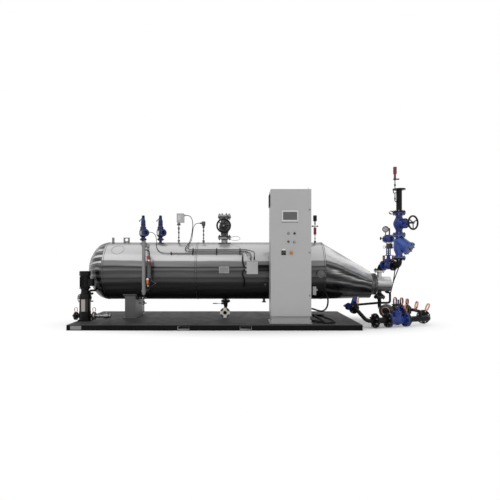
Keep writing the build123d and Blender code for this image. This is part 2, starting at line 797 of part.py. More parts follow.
def make_blowdown():
    x = 123
    base = Vector(x, vessel_y, vessel_bottom + 20)
    stub = clear_of_vessel(disc(base, -UP, 24, 40))
    stub += disc(Vector(x, vessel_y, 348), -UP, DN40["flange"], 16)
    stub += disc(Vector(x, vessel_y, 332), -UP, DN40["flange"], 16)
    stub += disc(Vector(x, vessel_y, 316), -UP, 34, 70)
    stub += disc(Vector(x, vessel_y, 246), -UP, 26, 30)
    elbow = pipe([(x, vessel_y, 216), (x, vessel_y, 170), (x, vessel_y - 220, 170)], 26, 40)
    stub += elbow
    stub += disc(Vector(x, vessel_y - 220, 170), FRONT, 38, 60)
    stub += disc(Vector(x, vessel_y - 280, 170), FRONT, 82, 20)
    stub -= disc(Vector(x, vessel_y - 260, 170), FRONT, 24, 60)
    pivot = Vector(x - 62, vessel_y, 290)
    for side in (-1, 1):
        stub += block((x - 74, x - 30), (vessel_y + side * 14 - 4, vessel_y + side * 14 + 4), (276, 304))
    stub += disc(pivot + Vector(0, 18, 0), FRONT, 5, 36)
    foot = disc(Vector(x, vessel_y - 150, deck_top), UP, 8, 170 - deck_top - 20)
    stub += foot + disc(Vector(x, vessel_y - 150, deck_top), UP, 26, 8)
    parts["blowdown_valve"] = stub
    lever = disc(pivot + Vector(0, 4, 0), FRONT, 11, 8)
    lever += block((pivot.X - 150, pivot.X), (vessel_y - 3, vessel_y + 3), (pivot.Z - 4, pivot.Z + 4))
    lever += disc(pivot - RIGHT * 80, -RIGHT, 8, 74)
    lever -= disc(pivot + Vector(0, 18, 0), FRONT, 5.05, 36)
    parts["blowdown_lever"] = lever


def make_fittings():
    x = 1634
    centre = Vector(x, vessel_y - vessel_radius + 20, 802)
    cover = clear_of_vessel(disc(centre, FRONT, 46, 50))
    cover += disc(centre + FRONT * 50, FRONT, 60, 18)
    knob = clear_of_vessel(disc(Vector(765, vessel_y - 400, 636), FRONT, 9, 70))
    knob += disc(Vector(765, vessel_y - 470, 636), FRONT, 16, 16)
    stub = clear_of_vessel(disc(Vector(768, vessel_y, vessel_bottom + 20), -UP, 20, 60))
    stub += disc(Vector(768, vessel_y, vessel_bottom - 40), -UP, 36, 16)
    parts["vessel_fittings"] = Compound(children=[cover, knob, stub])
    connector = block((1512, 1568), (-296, -236), (470, 600))
    connector = fillet(connector.edges().filter_by(Axis.Z), 8)
    connector += clear_of_vessel(block((1526, 1554), (-236, -120), (500, 570)))
    connector += disc(Vector(1568, -266, 548), RIGHT, 17, 22)
    return connector


# Feed pump

def make_pump():
    axis = Vector(pump_x, pump_y, deck_top)
    base = block(
        (pump_x - 95, pump_x + 95),
        (pump_y - 80, pump_y + 80),
        (deck_top, deck_top + 18),
    )
    base = fillet(base.edges().filter_by(Axis.Z), 30)
    base += disc(axis, UP, 88, 150)
    port = Vector(pump_x, pump_y, pump_port_z)
    for side in (-1, 1):
        base += disc(port, RIGHT * side, 30, pump_reach)
        base += disc(port + RIGHT * (side * (pump_reach - 18)), RIGHT * side, 62, 18)
    sleeve = disc(axis + UP * 150, UP, 78, 190)
    for turn in range(4):
        angle = radians(45 + 90 * turn)
        bolt = axis + UP * 150 + Vector(84 * cos(angle), 84 * sin(angle), 0)
        sleeve += disc(bolt, UP, 7, 190)
    parts["pump_sleeve"] = sleeve
    head = turned(axis, UP, [
        (92, 340),
        (92, 372),
        (76, 414),
        (62, 430),
        (58, 480),
        (72, 500),
        (85, 502),
    ])
    parts["pump_castings"] = Compound(children=[base, head])
    motor = turned(axis, UP, [
        (85, 502),
        (85, 514),
        (71, 520),
        (71, 690),
        (84, 700),
        (84, 762),
        (76, 770),
    ])
    for turn in range(20):
        angle = turn * 18
        if 330 > angle > 30 or angle == 0:
            fin = Rot(0, 0, angle) * Pos(74, 0, 605) * Box(12, 3, 160)
            motor += Plane(origin=axis) * fin
    motor += block((pump_x + 60, pump_x + 130), (pump_y - 50, pump_y + 50), (deck_top + 540, deck_top + 650))
    parts["pump_motor"] = motor

    inlet = port + RIGHT * pump_reach
    suction = turned(inlet, RIGHT, [
        (62, 0),
        (62, 18),
        (22, 18),
        (22, 60),
        (32, 60),
        (32, 92),
        (24, 96),
        (24, 150),
        (38, 156),
        (44, 190),
        (38, 224),
        (24, 230),
        (30, 232),
        (30, 262),
    ])
    suction -= disc(inlet + RIGHT * 232, RIGHT, 20, 60)
    suction += disc(inlet + RIGHT * 190, UP, 16, 62)
    suction += rod(inlet + RIGHT * 190 + UP * 58, inlet + RIGHT * 120 + UP * 62, 6)
    parts["pump_suction"] = suction

    outlet = port - RIGHT * pump_reach
    riser = Vector(-2050, -155, 0)
    feed = disc(outlet, -RIGHT, 62, 18)
    start = outlet - RIGHT * 18
    feed += pipe([
        start,
        start - RIGHT * 30,
        Vector(start.X - 30, -230, pump_port_z),
        Vector(riser.X, riser.Y, pump_port_z),
        Vector(riser.X, riser.Y, 352),
    ], 17, [26, 30, 40])
    stem = Vector(-sin(radians(40)), -cos(radians(40)), 0)
    valve_start = Vector(riser.X, riser.Y, 352)
    valve = globe_body(valve_start, UP, stem, SMALL, 130, 170, 34, 30, 6)
    centre = valve_start + UP * 65 + stem * 170
    parts["feed_handwheel"] = handwheel(centre, stem, 66, 3, 6, 6)
    top = valve_start + UP * 130
    line = disc(top, UP, SMALL["flange"], SMALL["thick"])
    line += pipe([
        top + UP * 10,
        top + UP * 48,
        Vector(-1960, -90, 530),
        Vector(-1780, 20, 560),
    ], 17, [24, 60])
    line = line - vessel_core - dome_core
    parts["feed_line"] = feed + valve + line


# Steam inlet train

def make_steam_train():
    nozzle = Vector(inlet_nozzle_x, vessel_y, inlet_nozzle_top - DN65["thick"])
    start = Vector(inlet_nozzle_x, vessel_y, run_z)
    run = (Vector(train_x, train_y, run_z) - start).normalized()
    valve_length = control_valve_length
    valve_start = start + run * control_valve_start
    left_end = valve_start - run * 8
    right_start = valve_start + run * valve_length

    elbow = disc(nozzle, UP, DN65["flange"], DN65["thick"])
    elbow += pipe([nozzle + UP * 10, start, left_end], 32, 50)
    elbow += disc(valve_start - run * 18, run, DN50["flange"], 18)

    stem_valve = turned(valve_start, run, [
        (DN50["flange"], 0),
        (DN50["flange"], 18),
        (38, 18),
        (42, 50),
        (62, 72),
        (66, 102),
        (62, 132),
        (42, 155),
        (38, valve_length - 18),
        (DN50["flange"], valve_length - 18),
        (DN50["flange"], valve_length),
    ])
    middle = valve_start + run * (valve_length / 2)
    stem_valve += turned(middle, UP, [
        (50, 0),
        (50, 80),
        (70, 82),
        (70, 108),
        (34, 110),
        (26, 160),
    ])
    parts["control_valve"] = stem_valve
    side = run.cross(UP)
    actuator = disc(middle + UP * 160, UP, 12, 170)
    for turn in (-1, 1):
        actuator += rod(middle + UP * 160 + side * (turn * 40), middle + UP * 372 + side * (turn * 40), 9)
    actuator += disc(middle + UP * 160, UP, 54, 14)
    actuator += turned(middle + UP * 372, UP, [
        (54, 0),
        (actuator_radius - 8, 22),
        (actuator_radius, 54),
        (actuator_radius, 74),
        (actuator_radius - 8, 104),
        (54, 132),
    ])
    parts["control_actuator"] = actuator

    train_low = Vector(train_x, train_y, strainer_bottom)
    big_elbow = disc(right_start, run, DN50["flange"], 18)
    big_elbow += pipe([
        right_start + run * 10,
        Vector(train_x, train_y, run_z),
        train_low - UP * 10,
    ], DN80["pipe"], 58)
    big_elbow += disc(train_low - UP * DN80["thick"], UP, DN80["flange"], DN80["thick"])
    parts["inlet_elbows"] = Compound(children=[elbow, big_elbow])

    strainer = turned(train_low, UP, [
        (DN80["flange"], 0),
        (DN80["flange"], DN80["thick"]),
        (DN80["pipe"] + 8, DN80["thick"]),
        (DN80["pipe"] + 10, 60),
        (82, 130),
        (86, 200),
        (82, 270),
        (DN80["pipe"] + 8, 320),
        (DN80["pipe"] + 8, strainer_length - DN80["thick"]),
        (DN80["flange"], strainer_length - DN80["thick"]),
        (DN80["flange"], strainer_length),
    ])
    drop, turn = radians(strainer_leg_drop), radians(strainer_leg_azimuth)
    leg = Vector(cos(drop) * cos(turn), -cos(drop) * sin(turn), -sin(drop))
    root = train_low + UP * (strainer_length * 0.72)
    strainer += turned(root, leg, [
        (strainer_leg_radius, 0),
        (strainer_leg_radius, strainer_leg_length - 48),
        (strainer_cover_radius - 8, strainer_leg_length - 36),
        (strainer_cover_radius - 8, strainer_leg_length - 20),
        (strainer_cover_radius, strainer_leg_length - 20),
        (strainer_cover_radius, strainer_leg_length),
        (strainer_cover_radius - 26, strainer_leg_length + 8),
    ])
    parts["strainer"] = strainer

    valve_low = train_low + UP * strainer_length
    parts["inlet_stop_valve"] = globe_body(
        valve_low, UP, ACROSS, DN80, stop_valve_length, inlet_stem, 90, 80)
    wheel_centre = valve_low + UP * (stop_valve_length / 2) + ACROSS * inlet_stem
    parts["inlet_handwheel"] = handwheel(wheel_centre, ACROSS, inlet_wheel_radius, 3, inlet_wheel_rim)

    spool_low = valve_low + UP * stop_valve_length
    bore = DN80["pipe"] - pipe_wall
    spool = disc(spool_low, UP, DN80["flange"], DN80["thick"])
    spool += disc(spool_low, UP, DN80["pipe"], inlet_spool_length)
    top_flange = flange(spool_low + UP * inlet_spool_length, -UP, DN80, holes=True)
    spool += top_flange
    spool -= disc(spool_low + UP * 30, UP, bore, inlet_spool_length)
    branch = spool_low + UP * 174
    side = Vector(-0.785, -0.62, 0).normalized()
    spool += disc(branch + side * (DN80["pipe"] - 3), side, 14, 30)
    parts["inlet_spool"] = spool

    left = branch + side * (DN80["pipe"] + 27)
    switch_z = 2290
    foot = branch + side * (DN80["flange"] + 16)
    riser, depth = foot.X, foot.Y
    siphon = pipe([left, foot, Vector(riser, depth, 2080)], 7, 12)
    siphon += disc(Vector(riser, depth, left.Z + 30), UP, 12, 30)
    siphon += Plane(origin=(riser, depth, 2108), z_dir=side) * Torus(30, 7)
    siphon += disc(Vector(riser, depth, 2138), UP, 7, switch_z - 2138)
    siphon += disc(Vector(riser, depth, 2190), UP, 13, 34)
    siphon += disc(Vector(riser - 26, depth, switch_z + 10), RIGHT, 11, 92)
    siphon += disc(Vector(riser, depth, switch_z - 10), UP, 14, 40)
    switch = disc(Vector(riser, depth, switch_z + 30), UP, 18, 62)
    switch += disc(Vector(riser, depth, switch_z + 92), UP, 28, 110)

    gauge_base = middle + UP * 504 - RIGHT * 48
    gauge = disc(gauge_base, UP, 8, 50)
    gauge += disc(gauge_base + UP * 94 - FRONT * 18, FRONT, 50, 36)
    parts["steam_instruments"] = Compound(children=[siphon, gauge])
    return switch


# Condensate train

def condensate_joint(distance):
    """The point on the main condensate line at a distance from its open flange."""
    return Vector(condensate_start[0], condensate_start[1], condensate_z) + DOWNSTREAM * distance


def trap_joint(distance):
    """The point on the trap line at a distance from the trap's middle."""
    return Vector(trap_centre[0], trap_centre[1], trap_line_z) + DOWNSTREAM * distance


def make_condensate():
    base = condensate_joint(0)
    first = condensate_joint(condensate_spool)
    second = condensate_joint(condensate_spool + condensate_valve_length)
    thick = DN100["thick"]

    spool = disc(base, DOWNSTREAM, DN100["flange"], thick)
    spool += disc(base, DOWNSTREAM, condensate_pipe, condensate_spool)
    spool += disc(first - DOWNSTREAM * thick, DOWNSTREAM, DN100["flange"], thick)

    valve = globe_body(first, DOWNSTREAM, UP, DN100, condensate_valve_length, 228, 84, 66)
    wheel = first + DOWNSTREAM * (condensate_valve_length / 2) + UP * 228
    parts["condensate_handwheel"] = handwheel(wheel, UP, condensate_wheel_radius, 5, 7)

    corner = second + DOWNSTREAM * ((condensate_end[0] - second.X) / DOWNSTREAM.X)
    end = Vector(condensate_end[0], condensate_end[1], condensate_z)
    tail = disc(second, DOWNSTREAM, DN100["flange"], thick)
    tail += pipe([second + DOWNSTREAM * 10, corner, end + FRONT * 20], condensate_pipe, condensate_bend)
    tail += flange(end, FRONT, dict(DN100, pipe=condensate_pipe), holes=True)

    drop = Vector(inlet_nozzle_x, vessel_y, drop_flange_z)
    middle = trap_joint(0)
    line = disc(drop, -UP, DN65["flange"], DN50["thick"])
    line += pipe([drop - UP * 10, Vector(drop.X, drop.Y, trap_line_z), middle], DN50["pipe"], 45)
    stub = Vector(drain_stub_x, vessel_y, channel_z)
    line += pipe([
        stub,
        Vector(stub.X, stub.Y, drain_stub_z),
        Vector(drain_leg_x, stub.Y, drain_stub_z),
        Vector(drain_leg_x, stub.Y, 300),
        Vector(drop.X, drop.Y, 300),
    ], drain_stub_radius, [30, 30, 40])

    facing = Vector(cos(radians(trap_face_angle)), sin(radians(trap_face_angle)), 0)
    trap = turned(middle - facing * (trap_depth / 2), facing, [
        (trap_radius - 30, 0),
        (trap_radius - 8, 20),
        (trap_radius - 8, trap_depth * 0.55),
        (trap_radius, trap_depth * 0.55),
        (trap_radius, trap_depth - 16),
        (trap_radius - 30, trap_depth),
    ])
    joints = [trap_joint(distance) for distance in trap_joints]
    trap += disc(middle, DOWNSTREAM, DN50["pipe"], trap_joints[0])
    trap += disc(joints[0] - DOWNSTREAM * DN50["thick"], DOWNSTREAM, DN50["flange"], DN50["thick"])
    check_length = trap_joints[2] - trap_joints[1]
    check = turned(joints[1], DOWNSTREAM, [
        (DN50["flange"], 0),
        (DN50["flange"], DN50["thick"]),
        (DN50["pipe"] + 4, DN50["thick"]),
        (DN50["pipe"] + 26, check_length * 0.36),
        (DN50["pipe"] + 26, check_length * 0.64),
        (DN50["pipe"] + 4, check_length - DN50["thick"]),
        (DN50["flange"], check_length - DN50["thick"]),
        (DN50["flange"], check_length),
    ])
    parts["trap_station"] = Compound(children=[trap, check])
    shutoff_length = trap_joints[1] - trap_joints[0]
    shutoff = turned(joints[0], DOWNSTREAM, [
        (DN50["flange"], 0),
        (DN50["flange"], DN50["thick"]),
        (DN50["pipe"] + 10, DN50["thick"]),
        (DN50["pipe"] + 16, shutoff_length / 2),
        (DN50["pipe"] + 10, shutoff_length - DN50["thick"]),
        (DN50["flange"], shutoff_length - DN50["thick"]),
        (DN50["flange"], shutoff_length),
    ])
    bonnet = trap_joint((trap_joints[0] + trap_joints[1]) / 2)
    shutoff += disc(bonnet, UP, 26, 96)
    shutoff += disc(bonnet + UP * 90, UP, 32, 20)
    shutoff += disc(bonnet + UP * 100, UP, 13, 72)

    flow = Vector(*drain_valve_flow).normalized()
    valve_start = Vector(*drain_valve_start)
    parts["condensate_valves"] = Compound(children=[valve, drain_valve(valve_start, flow), shutoff])
    begin = Vector(drop.X - DN50["pipe"] / 2, drop.Y, 300)
    feed_line = pipe([
        begin,
        Vector(valve_start.X + 5, 60, drain_line_z),
        valve_start - flow * 70,
        valve_start,
    ], drain_line_radius, [60, 40])
    outlet = valve_start + flow * drain_valve_length
    collector = disc(outlet, flow, 82, 14)
    collector += pipe([
        outlet + flow * 8,
        outlet + flow * 44,
        base - DOWNSTREAM * 130,
        base,
    ], collector_radius, [30, 60])
    collector += spool
    main_point = condensate_joint((rejoin_x - base.X) / DOWNSTREAM.X)
    last = joints[2]
    turn_point = trap_joint((rejoin_x - trap_centre[0]) / DOWNSTREAM.X)
    rejoin_line = disc(last, DOWNSTREAM, DN50["flange"], DN50["thick"])
    rejoin_line += pipe([
        last + DOWNSTREAM * 10,
        turn_point,
        Vector(main_point.X, main_point.Y, trap_line_z),
        main_point + UP * 20,
    ], rejoin_pipe, rejoin_bend)
    line = clear_of_channel(line + feed_line) - trap
    parts["condensate_pipes"] = Compound(children=[line, collector, tail + rejoin_line])


def make_stay():
    """The forked stay between the channel's drain pipe and the inlet elbow."""
    apex = Vector(*stay_apex)
    stay = rod(Vector(*stay_foot), apex, stay_radius)
    for foot in stay_feet:
        stay += rod(apex, Vector(*foot), stay_radius)
    stay += Pos(*stay_apex) * Sphere(stay_radius + 4)
    for name in ("inlet_elbows", "condensate_pipes"):
        for solid in parts[name].solids():
            stay -= solid
    parts["elbow_stay"] = stay


def clear_of_channel(piece):
    """The piece without what reaches into the channel head."""
    return piece - disc(Vector(girth_flange_start, vessel_y, channel_z), RIGHT, channel_radius, 400)


def drain_valve(start, flow):
    """The small flanged valve on the channel's drain line."""
    valve = turned(start, flow, [
        (58, 0),
        (58, 14),
        (24, 14),
        (28, 46),
        (46, 66),
        (48, 86),
        (46, 106),
        (28, 126),
        (24, 148),
        (82, 148),
        (82, drain_valve_length),
    ])
    stem = Vector(0.35, 0.1, 1).normalized()
    head = start + flow * 86 + stem * 118
    valve += rod(start + flow * 86, head, 28)
    cap_axis = Vector(0.92, -0.38, -0.1).normalized()
    valve += turned(head - cap_axis * 20, cap_axis, [
        (36, 0),
        (50, 14),
        (50, 56),
        (60, 58),
        (60, 72),
        (64, 74),
        (64, 90),
    ])
    return valve


# Free cables: each is a tube along straight runs joined by arcs

safety_cable_start = (-1170, 195, 1490)
probe_cable_points = [
    (-552, 180, 1772), (-514, 180, 1772), (-472, 172, 1756), (-441, 155, 1710),
    (-425, 130, 1645), (-422, 100, 1570), (-430, 62, 1480), (-441, 25, 1390),
    (-457, -22, 1316), (-476, -66, 1281), (-497, -108, 1247), (-512, -144, 1214),
    (-512, -172, 1187), (-494, -189, 1168), (-462, -194.1, 1161.5), (-410, -194.1, 1161.5),
]
temperature_cable_points = [
    (-311, 180, 1640), (-345, 180, 1640), (-380, 172, 1630), (-406, 152, 1596),
    (-420, 122, 1536), (-425, 86, 1455), (-429, 46, 1376), (-439, 0, 1326),
    (-453, -48, 1292), (-467, -90, 1260), (-477, -124, 1233), (-475, -146, 1213),
    (-456, -162, 1196), (-426, -169.1, 1188.7), (-380, -169.1, 1188.7),
]
safety_cable_points = [
    safety_cable_start, (-1132, 195, 1490), (-1092, 184, 1472), (-1058, 160, 1440),
    (-1036, 122, 1396), (-1022, 74, 1350), (-1010, 20, 1314), (-1000, -40, 1285),
    (-988, -98, 1248), (-970, -146, 1207), (-940, -182, 1168), (-895, -208, 1141),
    (-840, -220.1, 1128.4), (-730, -220.1, 1128.4),
]
cabinet_cable_points = [
    (1447, -345, 262), (1500, -345, 262), (1566, -344, 236), (1640, -339, 216),
    (1704, -330, 240), (1742, -320, 306), (1752, -308, 392), (1736, -294, 470),
    (1696, -278, 528), (1644, -266, 548), (1590, -266, 548),
]
strap_height = 46
strap_width = 22
strap_thickness = 3

deck_cable_points = [
    (1431, -660, 107), (1494, -660, 107), (1570, -705, 95), (1645, -742, 94), (1709, -738, 94),
    (1762, -702, 94), (1794, -644, 94), (1800, -576, 94), (1797, -460, 94), (1786, -330, 94),
    (1770, -190, 94), (1750, -70, 94), (1734, 20, 96), (1734, 93, 96),
]
drain_cable_points = [
    (1431, -560, 107), (1486, -560, 107), (1552, -572, 94), (1606, -560, 94), (1641, -515, 94),
    (1652, -450, 94), (1649, -330, 94), (1638, -200, 94), (1622, -80, 94), (1612, 10, 96),
    (1612, 93, 96),
]
duct_size = (1580, 1770)
duct_depth = (112, 200)


def cord(points, radius):
    """A tube whose arcs are as large as the runs beside them allow, and its radii."""
    stations = [Vector(*point) for point in points]
    radii = []
    for before, here, after in zip(stations, stations[1:], stations[2:]):
        turn = radians((here - before).get_angle(after - here))
        run = min((here - before).length, (after - here).length)
        radii.append(0.45 * run / tan(turn / 2))
    path = FilletPolyline(*stations, radius=radii)
    tube = sweep(Plane(origin=path @ 0, z_dir=path % 0) * Circle(radius), path=path)
    ideal = pi * radius * radius * path.length
    print(f"length {path.length:.0f} volume ratio {tube.volume / ideal:.4f}")
    print("radii in diameters", [round(value / (2 * radius), 1) for value in radii])
    return tube


def make_cables():
    parts["probe_cable"] = cord(probe_cable_points, 6)
    parts["temperature_cable"] = cord(temperature_cable_points, 5)
    parts["safety_cable"] = cord(safety_cable_points, 5)
    parts["cabinet_cable"] = cord(cabinet_cable_points, 13)
    parts["deck_cable"] = cord(deck_cable_points, 12)
    parts["drain_cable"] = cord(drain_cable_points, 12)
    glands = parts["cabinet_plinth"]
    for y in (deck_cable_points[0][1], drain_cable_points[0][1]):
        glands += disc(Vector(cabinet_right - plinth_recess - 1, y, 107), RIGHT, 15, 21)
    parts["cabinet_plinth"] = glands
    duct = block(duct_size, duct_depth, (deck_top, deck_top + 34))
    for points in (deck_cable_points, drain_cable_points):
        duct += disc(Vector(points[-1][0], duct_depth[0], points[-1][2]), FRONT, 15, duct_depth[0] - points[-1][1])
    parts["cable_duct"] = duct


def strap(joint, flow, out, flange_radius, half_width=18):
    """A flat copper earthing strap that loops over a flange joint on its rim."""
    joint, flow, out = Vector(joint), Vector(flow).normalized(), Vector(out).normalized()
    origin = Plane(origin=joint + out * flange_radius, x_dir=out, z_dir=flow.cross(out))
    outer = SlotCenterToCenter(2 * strap_height, 2 * half_width)
    inner = SlotCenterToCenter(2 * strap_height, 2 * half_width - 2 * strap_thickness)
    loop = origin * extrude(outer - inner, strap_width / 2, both=True)
    return loop - disc(joint - flow * 100, flow, flange_radius, 200)


def make_straps():
    top_joint = Vector(train_x, train_y, strainer_bottom + strainer_length + stop_valve_length)
    tilt = (UP - DOWNSTREAM * UP.dot(DOWNSTREAM)).normalized()
    straps = [strap(top_joint, UP, (-0.95, -0.3, 0), DN80["flange"])]
    for distance in (condensate_spool, condensate_spool + condensate_valve_length):
        straps.append(strap(condensate_joint(distance), DOWNSTREAM, tilt, DN100["flange"], 22))
    for distance in trap_joints:
        straps.append(strap(trap_joint(distance), DOWNSTREAM, tilt, DN50["flange"]))
    straps.append(strap(trap_joint(trap_joints[2] + 42), DOWNSTREAM, tilt, rejoin_pipe))
    end = Vector(condensate_end[0], condensate_end[1], condensate_z)
    straps.append(strap(end + FRONT * 14, FRONT, (0.7, 0, 0.7), DN100["flange"], 12))
    for side in (-1, 1):
        port = Vector(pump_x + side * pump_reach, pump_y, pump_port_z)
        straps.append(strap(port, RIGHT, UP, pump_flange_radius))
    parts["bonding_straps"] = Compound(children=straps)


def write_parts():
    os.makedirs("parts", exist_ok=True)
    for name, shape in parts.items():
        export_step(shape, os.path.join("parts", f"{name}.step"))


make_skid()
make_vessel()
make_cabinet()
make_steam_outlet()
make_safety_valves()
probe_box, transmitter = make_sensors()
make_level_gear()
junction_box = make_conduits()
make_blowdown()
connector_box = make_fittings()
make_pump()
pressure_switch = make_steam_train()
make_condensate()
make_stay()
parts["junction_boxes"] = Compound(children=[probe_box, junction_box, connector_box])
parts["pressure_sensors"] = Compound(children=[transmitter, pressure_switch])
make_cables()
make_straps()
write_parts()
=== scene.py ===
import logging
import math
from dataclasses import dataclass, field
from enum import Enum
from typing import ClassVar

import bmesh
import bpy
from mathutils import Matrix, Vector


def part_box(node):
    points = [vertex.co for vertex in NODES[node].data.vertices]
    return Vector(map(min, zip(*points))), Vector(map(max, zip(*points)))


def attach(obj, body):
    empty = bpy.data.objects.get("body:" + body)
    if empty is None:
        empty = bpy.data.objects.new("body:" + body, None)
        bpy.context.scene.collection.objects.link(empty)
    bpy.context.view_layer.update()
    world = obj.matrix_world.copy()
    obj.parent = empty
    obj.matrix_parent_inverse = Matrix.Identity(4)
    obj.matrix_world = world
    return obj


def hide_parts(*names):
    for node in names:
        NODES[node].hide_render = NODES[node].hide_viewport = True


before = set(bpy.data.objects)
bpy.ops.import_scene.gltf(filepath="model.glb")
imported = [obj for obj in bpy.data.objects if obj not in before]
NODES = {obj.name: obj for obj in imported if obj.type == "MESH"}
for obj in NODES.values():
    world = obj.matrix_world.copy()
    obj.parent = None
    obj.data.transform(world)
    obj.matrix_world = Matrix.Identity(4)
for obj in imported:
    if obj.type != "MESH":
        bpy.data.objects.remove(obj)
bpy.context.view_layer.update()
log = logging.getLogger("steam_generator")

Pair = tuple[float, float]
Triple = tuple[float, float, float]
Colour = tuple[float, float, float, float]
Profile = list[Pair]
Route = tuple[Triple, ...]
Seam = list[tuple[Vector, Vector]]
Material = bpy.types.Material
Socket = bpy.types.NodeSocket
Shape = bmesh.types.BMesh

PLANT = "plant"
UP = Vector((0, 0, 1))
FRONT = Vector((0, -1, 0))
RIGHT = Vector((1, 0, 0))
CONDENSATE_ANGLE = math.radians(15.8)
DOWNSTREAM = Vector((math.cos(CONDENSATE_ANGLE), math.sin(CONDENSATE_ANGLE), 0))
TRAIN_ANGLE = math.radians(62)
ACROSS = Vector((math.cos(TRAIN_ANGLE), -math.sin(TRAIN_ANGLE), 0))

VESSEL_Y = 0.18
VESSEL_Z = 0.842
VESSEL_RADIUS = 0.476
VESSEL_LEFT = -1.815
VESSEL_RIGHT = 1.717
CONE_END_X = 2.528
CONE_END_Z = 0.612
CONE_END_RADIUS = 0.228
CHANNEL_Z = 0.618
CHANNEL_RADIUS = 0.125
HEAD_DEPTH = 0.33
KNUCKLE_RADIUS = 0.24
SENSOR_Z = 1.318
WHITE = (1, 1, 1, 1)


class Slot(Enum):
    """The record's material slots, one given to each added piece."""

    MIRROR = "mirror_steel"
    SKID = "skid_black"
    GREY = "light_grey"
    BLUE = "valve_blue"
    STEEL = "bare_steel"
    COPPER = "copper"
    CABLE = "cable_black"
    PLASTIC = "black_plastic"
    RED = "signal_red"


def at(*place: float, unit: bool = False) -> Vector:
    """Gives a size field a vector as its default, of length one if that is asked."""
    return field(default_factory=lambda: Vector(place).normalized() if unit else Vector(place))


def grey(level: float) -> Colour:
    """Turns a display grey from 0 to 255 into a linear colour."""
    share = level / 255
    linear = share / 12.92 if share <= 0.04045 else ((share + 0.055) / 1.055) ** 2.4
    return (linear, linear, linear, 1)


def display(red: float, green: float, blue: float) -> Colour:
    """Turns a display colour of three values from 0 to 255 into a linear colour."""
    return (grey(red)[0], grey(green)[0], grey(blue)[0], 1)


def shaded(colour: Colour, factor: float) -> Colour:
    """Makes a colour darker or lighter by a factor."""
    return tuple(min(1, value * factor) for value in colour[:3]) + (1,)


class Nodes:
    """A node tree, with short calls for what its users share."""

    def __init__(self, tree: bpy.types.NodeTree) -> None:
        """Empties the tree."""
        self.tree = tree
        tree.nodes.clear()

    def add(self, kind: str, values: dict[int | str, object] | None = None, **settings: object) -> bpy.types.Node:
        """Adds a node, sets its properties, and feeds its inputs by their names or numbers."""
        node = self.tree.nodes.new(kind)
        for key, value in settings.items():
            setattr(node, key, value)
        for key, value in (values or {}).items():
            self.feed(node.inputs[key], value)
        return node

    def feed(self, socket: Socket, value: object) -> None:
        """Links an input to an output, or sets it to a plain value."""
        if isinstance(value, Socket):
            self.tree.links.new(value, socket)
        else:
            socket.default_value = value

    def math(self, operation: str, first: object, second: object, clamp: bool = False) -> Socket:
        """Works out one number from two."""
        return self.add("ShaderNodeMath", {0: first, 1: second}, operation=operation, use_clamp=clamp).outputs[0]

    def scaled(self, value: object, factor: object, extra: object = 0.0) -> Socket:
        """Multiplies a number by a factor and adds another number."""
        return self.add("ShaderNodeMath", {0: value, 1: factor, 2: extra}, operation="MULTIPLY_ADD").outputs[0]

    def any_ray(self, *names: str) -> Socket:
        """Tells whether a ray is of one of the named kinds."""
        kinds = self.add("ShaderNodeLightPath").outputs
        total = kinds[names[0]]
        for name in names[1:]:
            total = self.math("ADD", total, kinds[name], clamp=True)
        return total


class Graph(Nodes):
    """A material's node tree with one Principled shader."""

    def __init__(self, name: str) -> None:
        """Starts a material of that name with its shader and output."""
        self.material = bpy.data.materials.new(name)
        self.material.use_nodes = True
        super().__init__(self.material.node_tree)
        self.shader = self.add("ShaderNodeBsdfPrincipled")
        self.output = self.add("ShaderNodeOutputMaterial", {"Surface": self.shader.outputs["BSDF"]})
        self.coords = self.add("ShaderNodeTexCoord").outputs["Object"]

    def shade(self, values: dict[str, object]) -> None:
        """Feeds the shader's inputs."""
        for key, value in values.items():
            self.feed(self.shader.inputs[key], value)

    def axes(self) -> tuple[Socket, ...]:
        """Splits the object's coordinates into X, Y and Z."""
        return tuple(self.add("ShaderNodeSeparateXYZ", {"Vector": self.coords}).outputs)

    def noise(self, scale: float, detail: float = 3, stretch: Triple = (1, 1, 1), twist: float = 0.0) -> Socket:
        """Makes cloudy noise on the object's own coordinates.

        Args:
            scale: How many clouds a metre holds.
            detail: How many finer layers it has.
            stretch: How much finer it is along each axis.
            twist: How far the noise distorts itself.

        Returns:
            The noise from 0 to 1.
        """
        mapping = self.add("ShaderNodeMapping", {"Scale": stretch, "Vector": self.coords})
        return self.add("ShaderNodeTexNoise", {"Scale": scale, "Detail": detail, "Distortion": twist,
                                               "Vector": mapping.outputs["Vector"]}).outputs["Fac"]

    def ramp(self, value: object, stops: list[tuple[float, Colour]]) -> Socket:
        """Turns a number into a colour by stops, each a place from 0 to 1 and its colour."""
        node = self.add("ShaderNodeValToRGB", {"Fac": value})
        elements = node.color_ramp.elements
        while len(elements) < len(stops):
            elements.new(0.5)
        for element, (place, colour) in zip(elements, stops):
            element.position = place
            element.color = colour
        return node.outputs["Color"]

    def mix(self, share: object, first: Colour, second: Colour) -> Socket:
        """Mixes two colours by a share."""
        return self.add("ShaderNodeMix", {"Factor": share, 6: first, 7: second}, data_type="RGBA").outputs[2]

    def spread(self, value: Socket, low: float, high: float) -> Socket:
        """Spreads a noise's middle values, from 0.3 to 0.7, over a range."""
        return self.add("ShaderNodeMapRange", {"Value": value, "From Min": 0.3, "From Max": 0.7, "To Min": low,
                                               "To Max": high}).outputs["Result"]

    def bump(self, height: Socket, strength: float, distance: float) -> None:
        """Roughens the surface by a height."""
        node = self.add("ShaderNodeBump", {"Strength": strength, "Distance": distance, "Height": height})
        self.shade({"Normal": node.outputs["Normal"]})


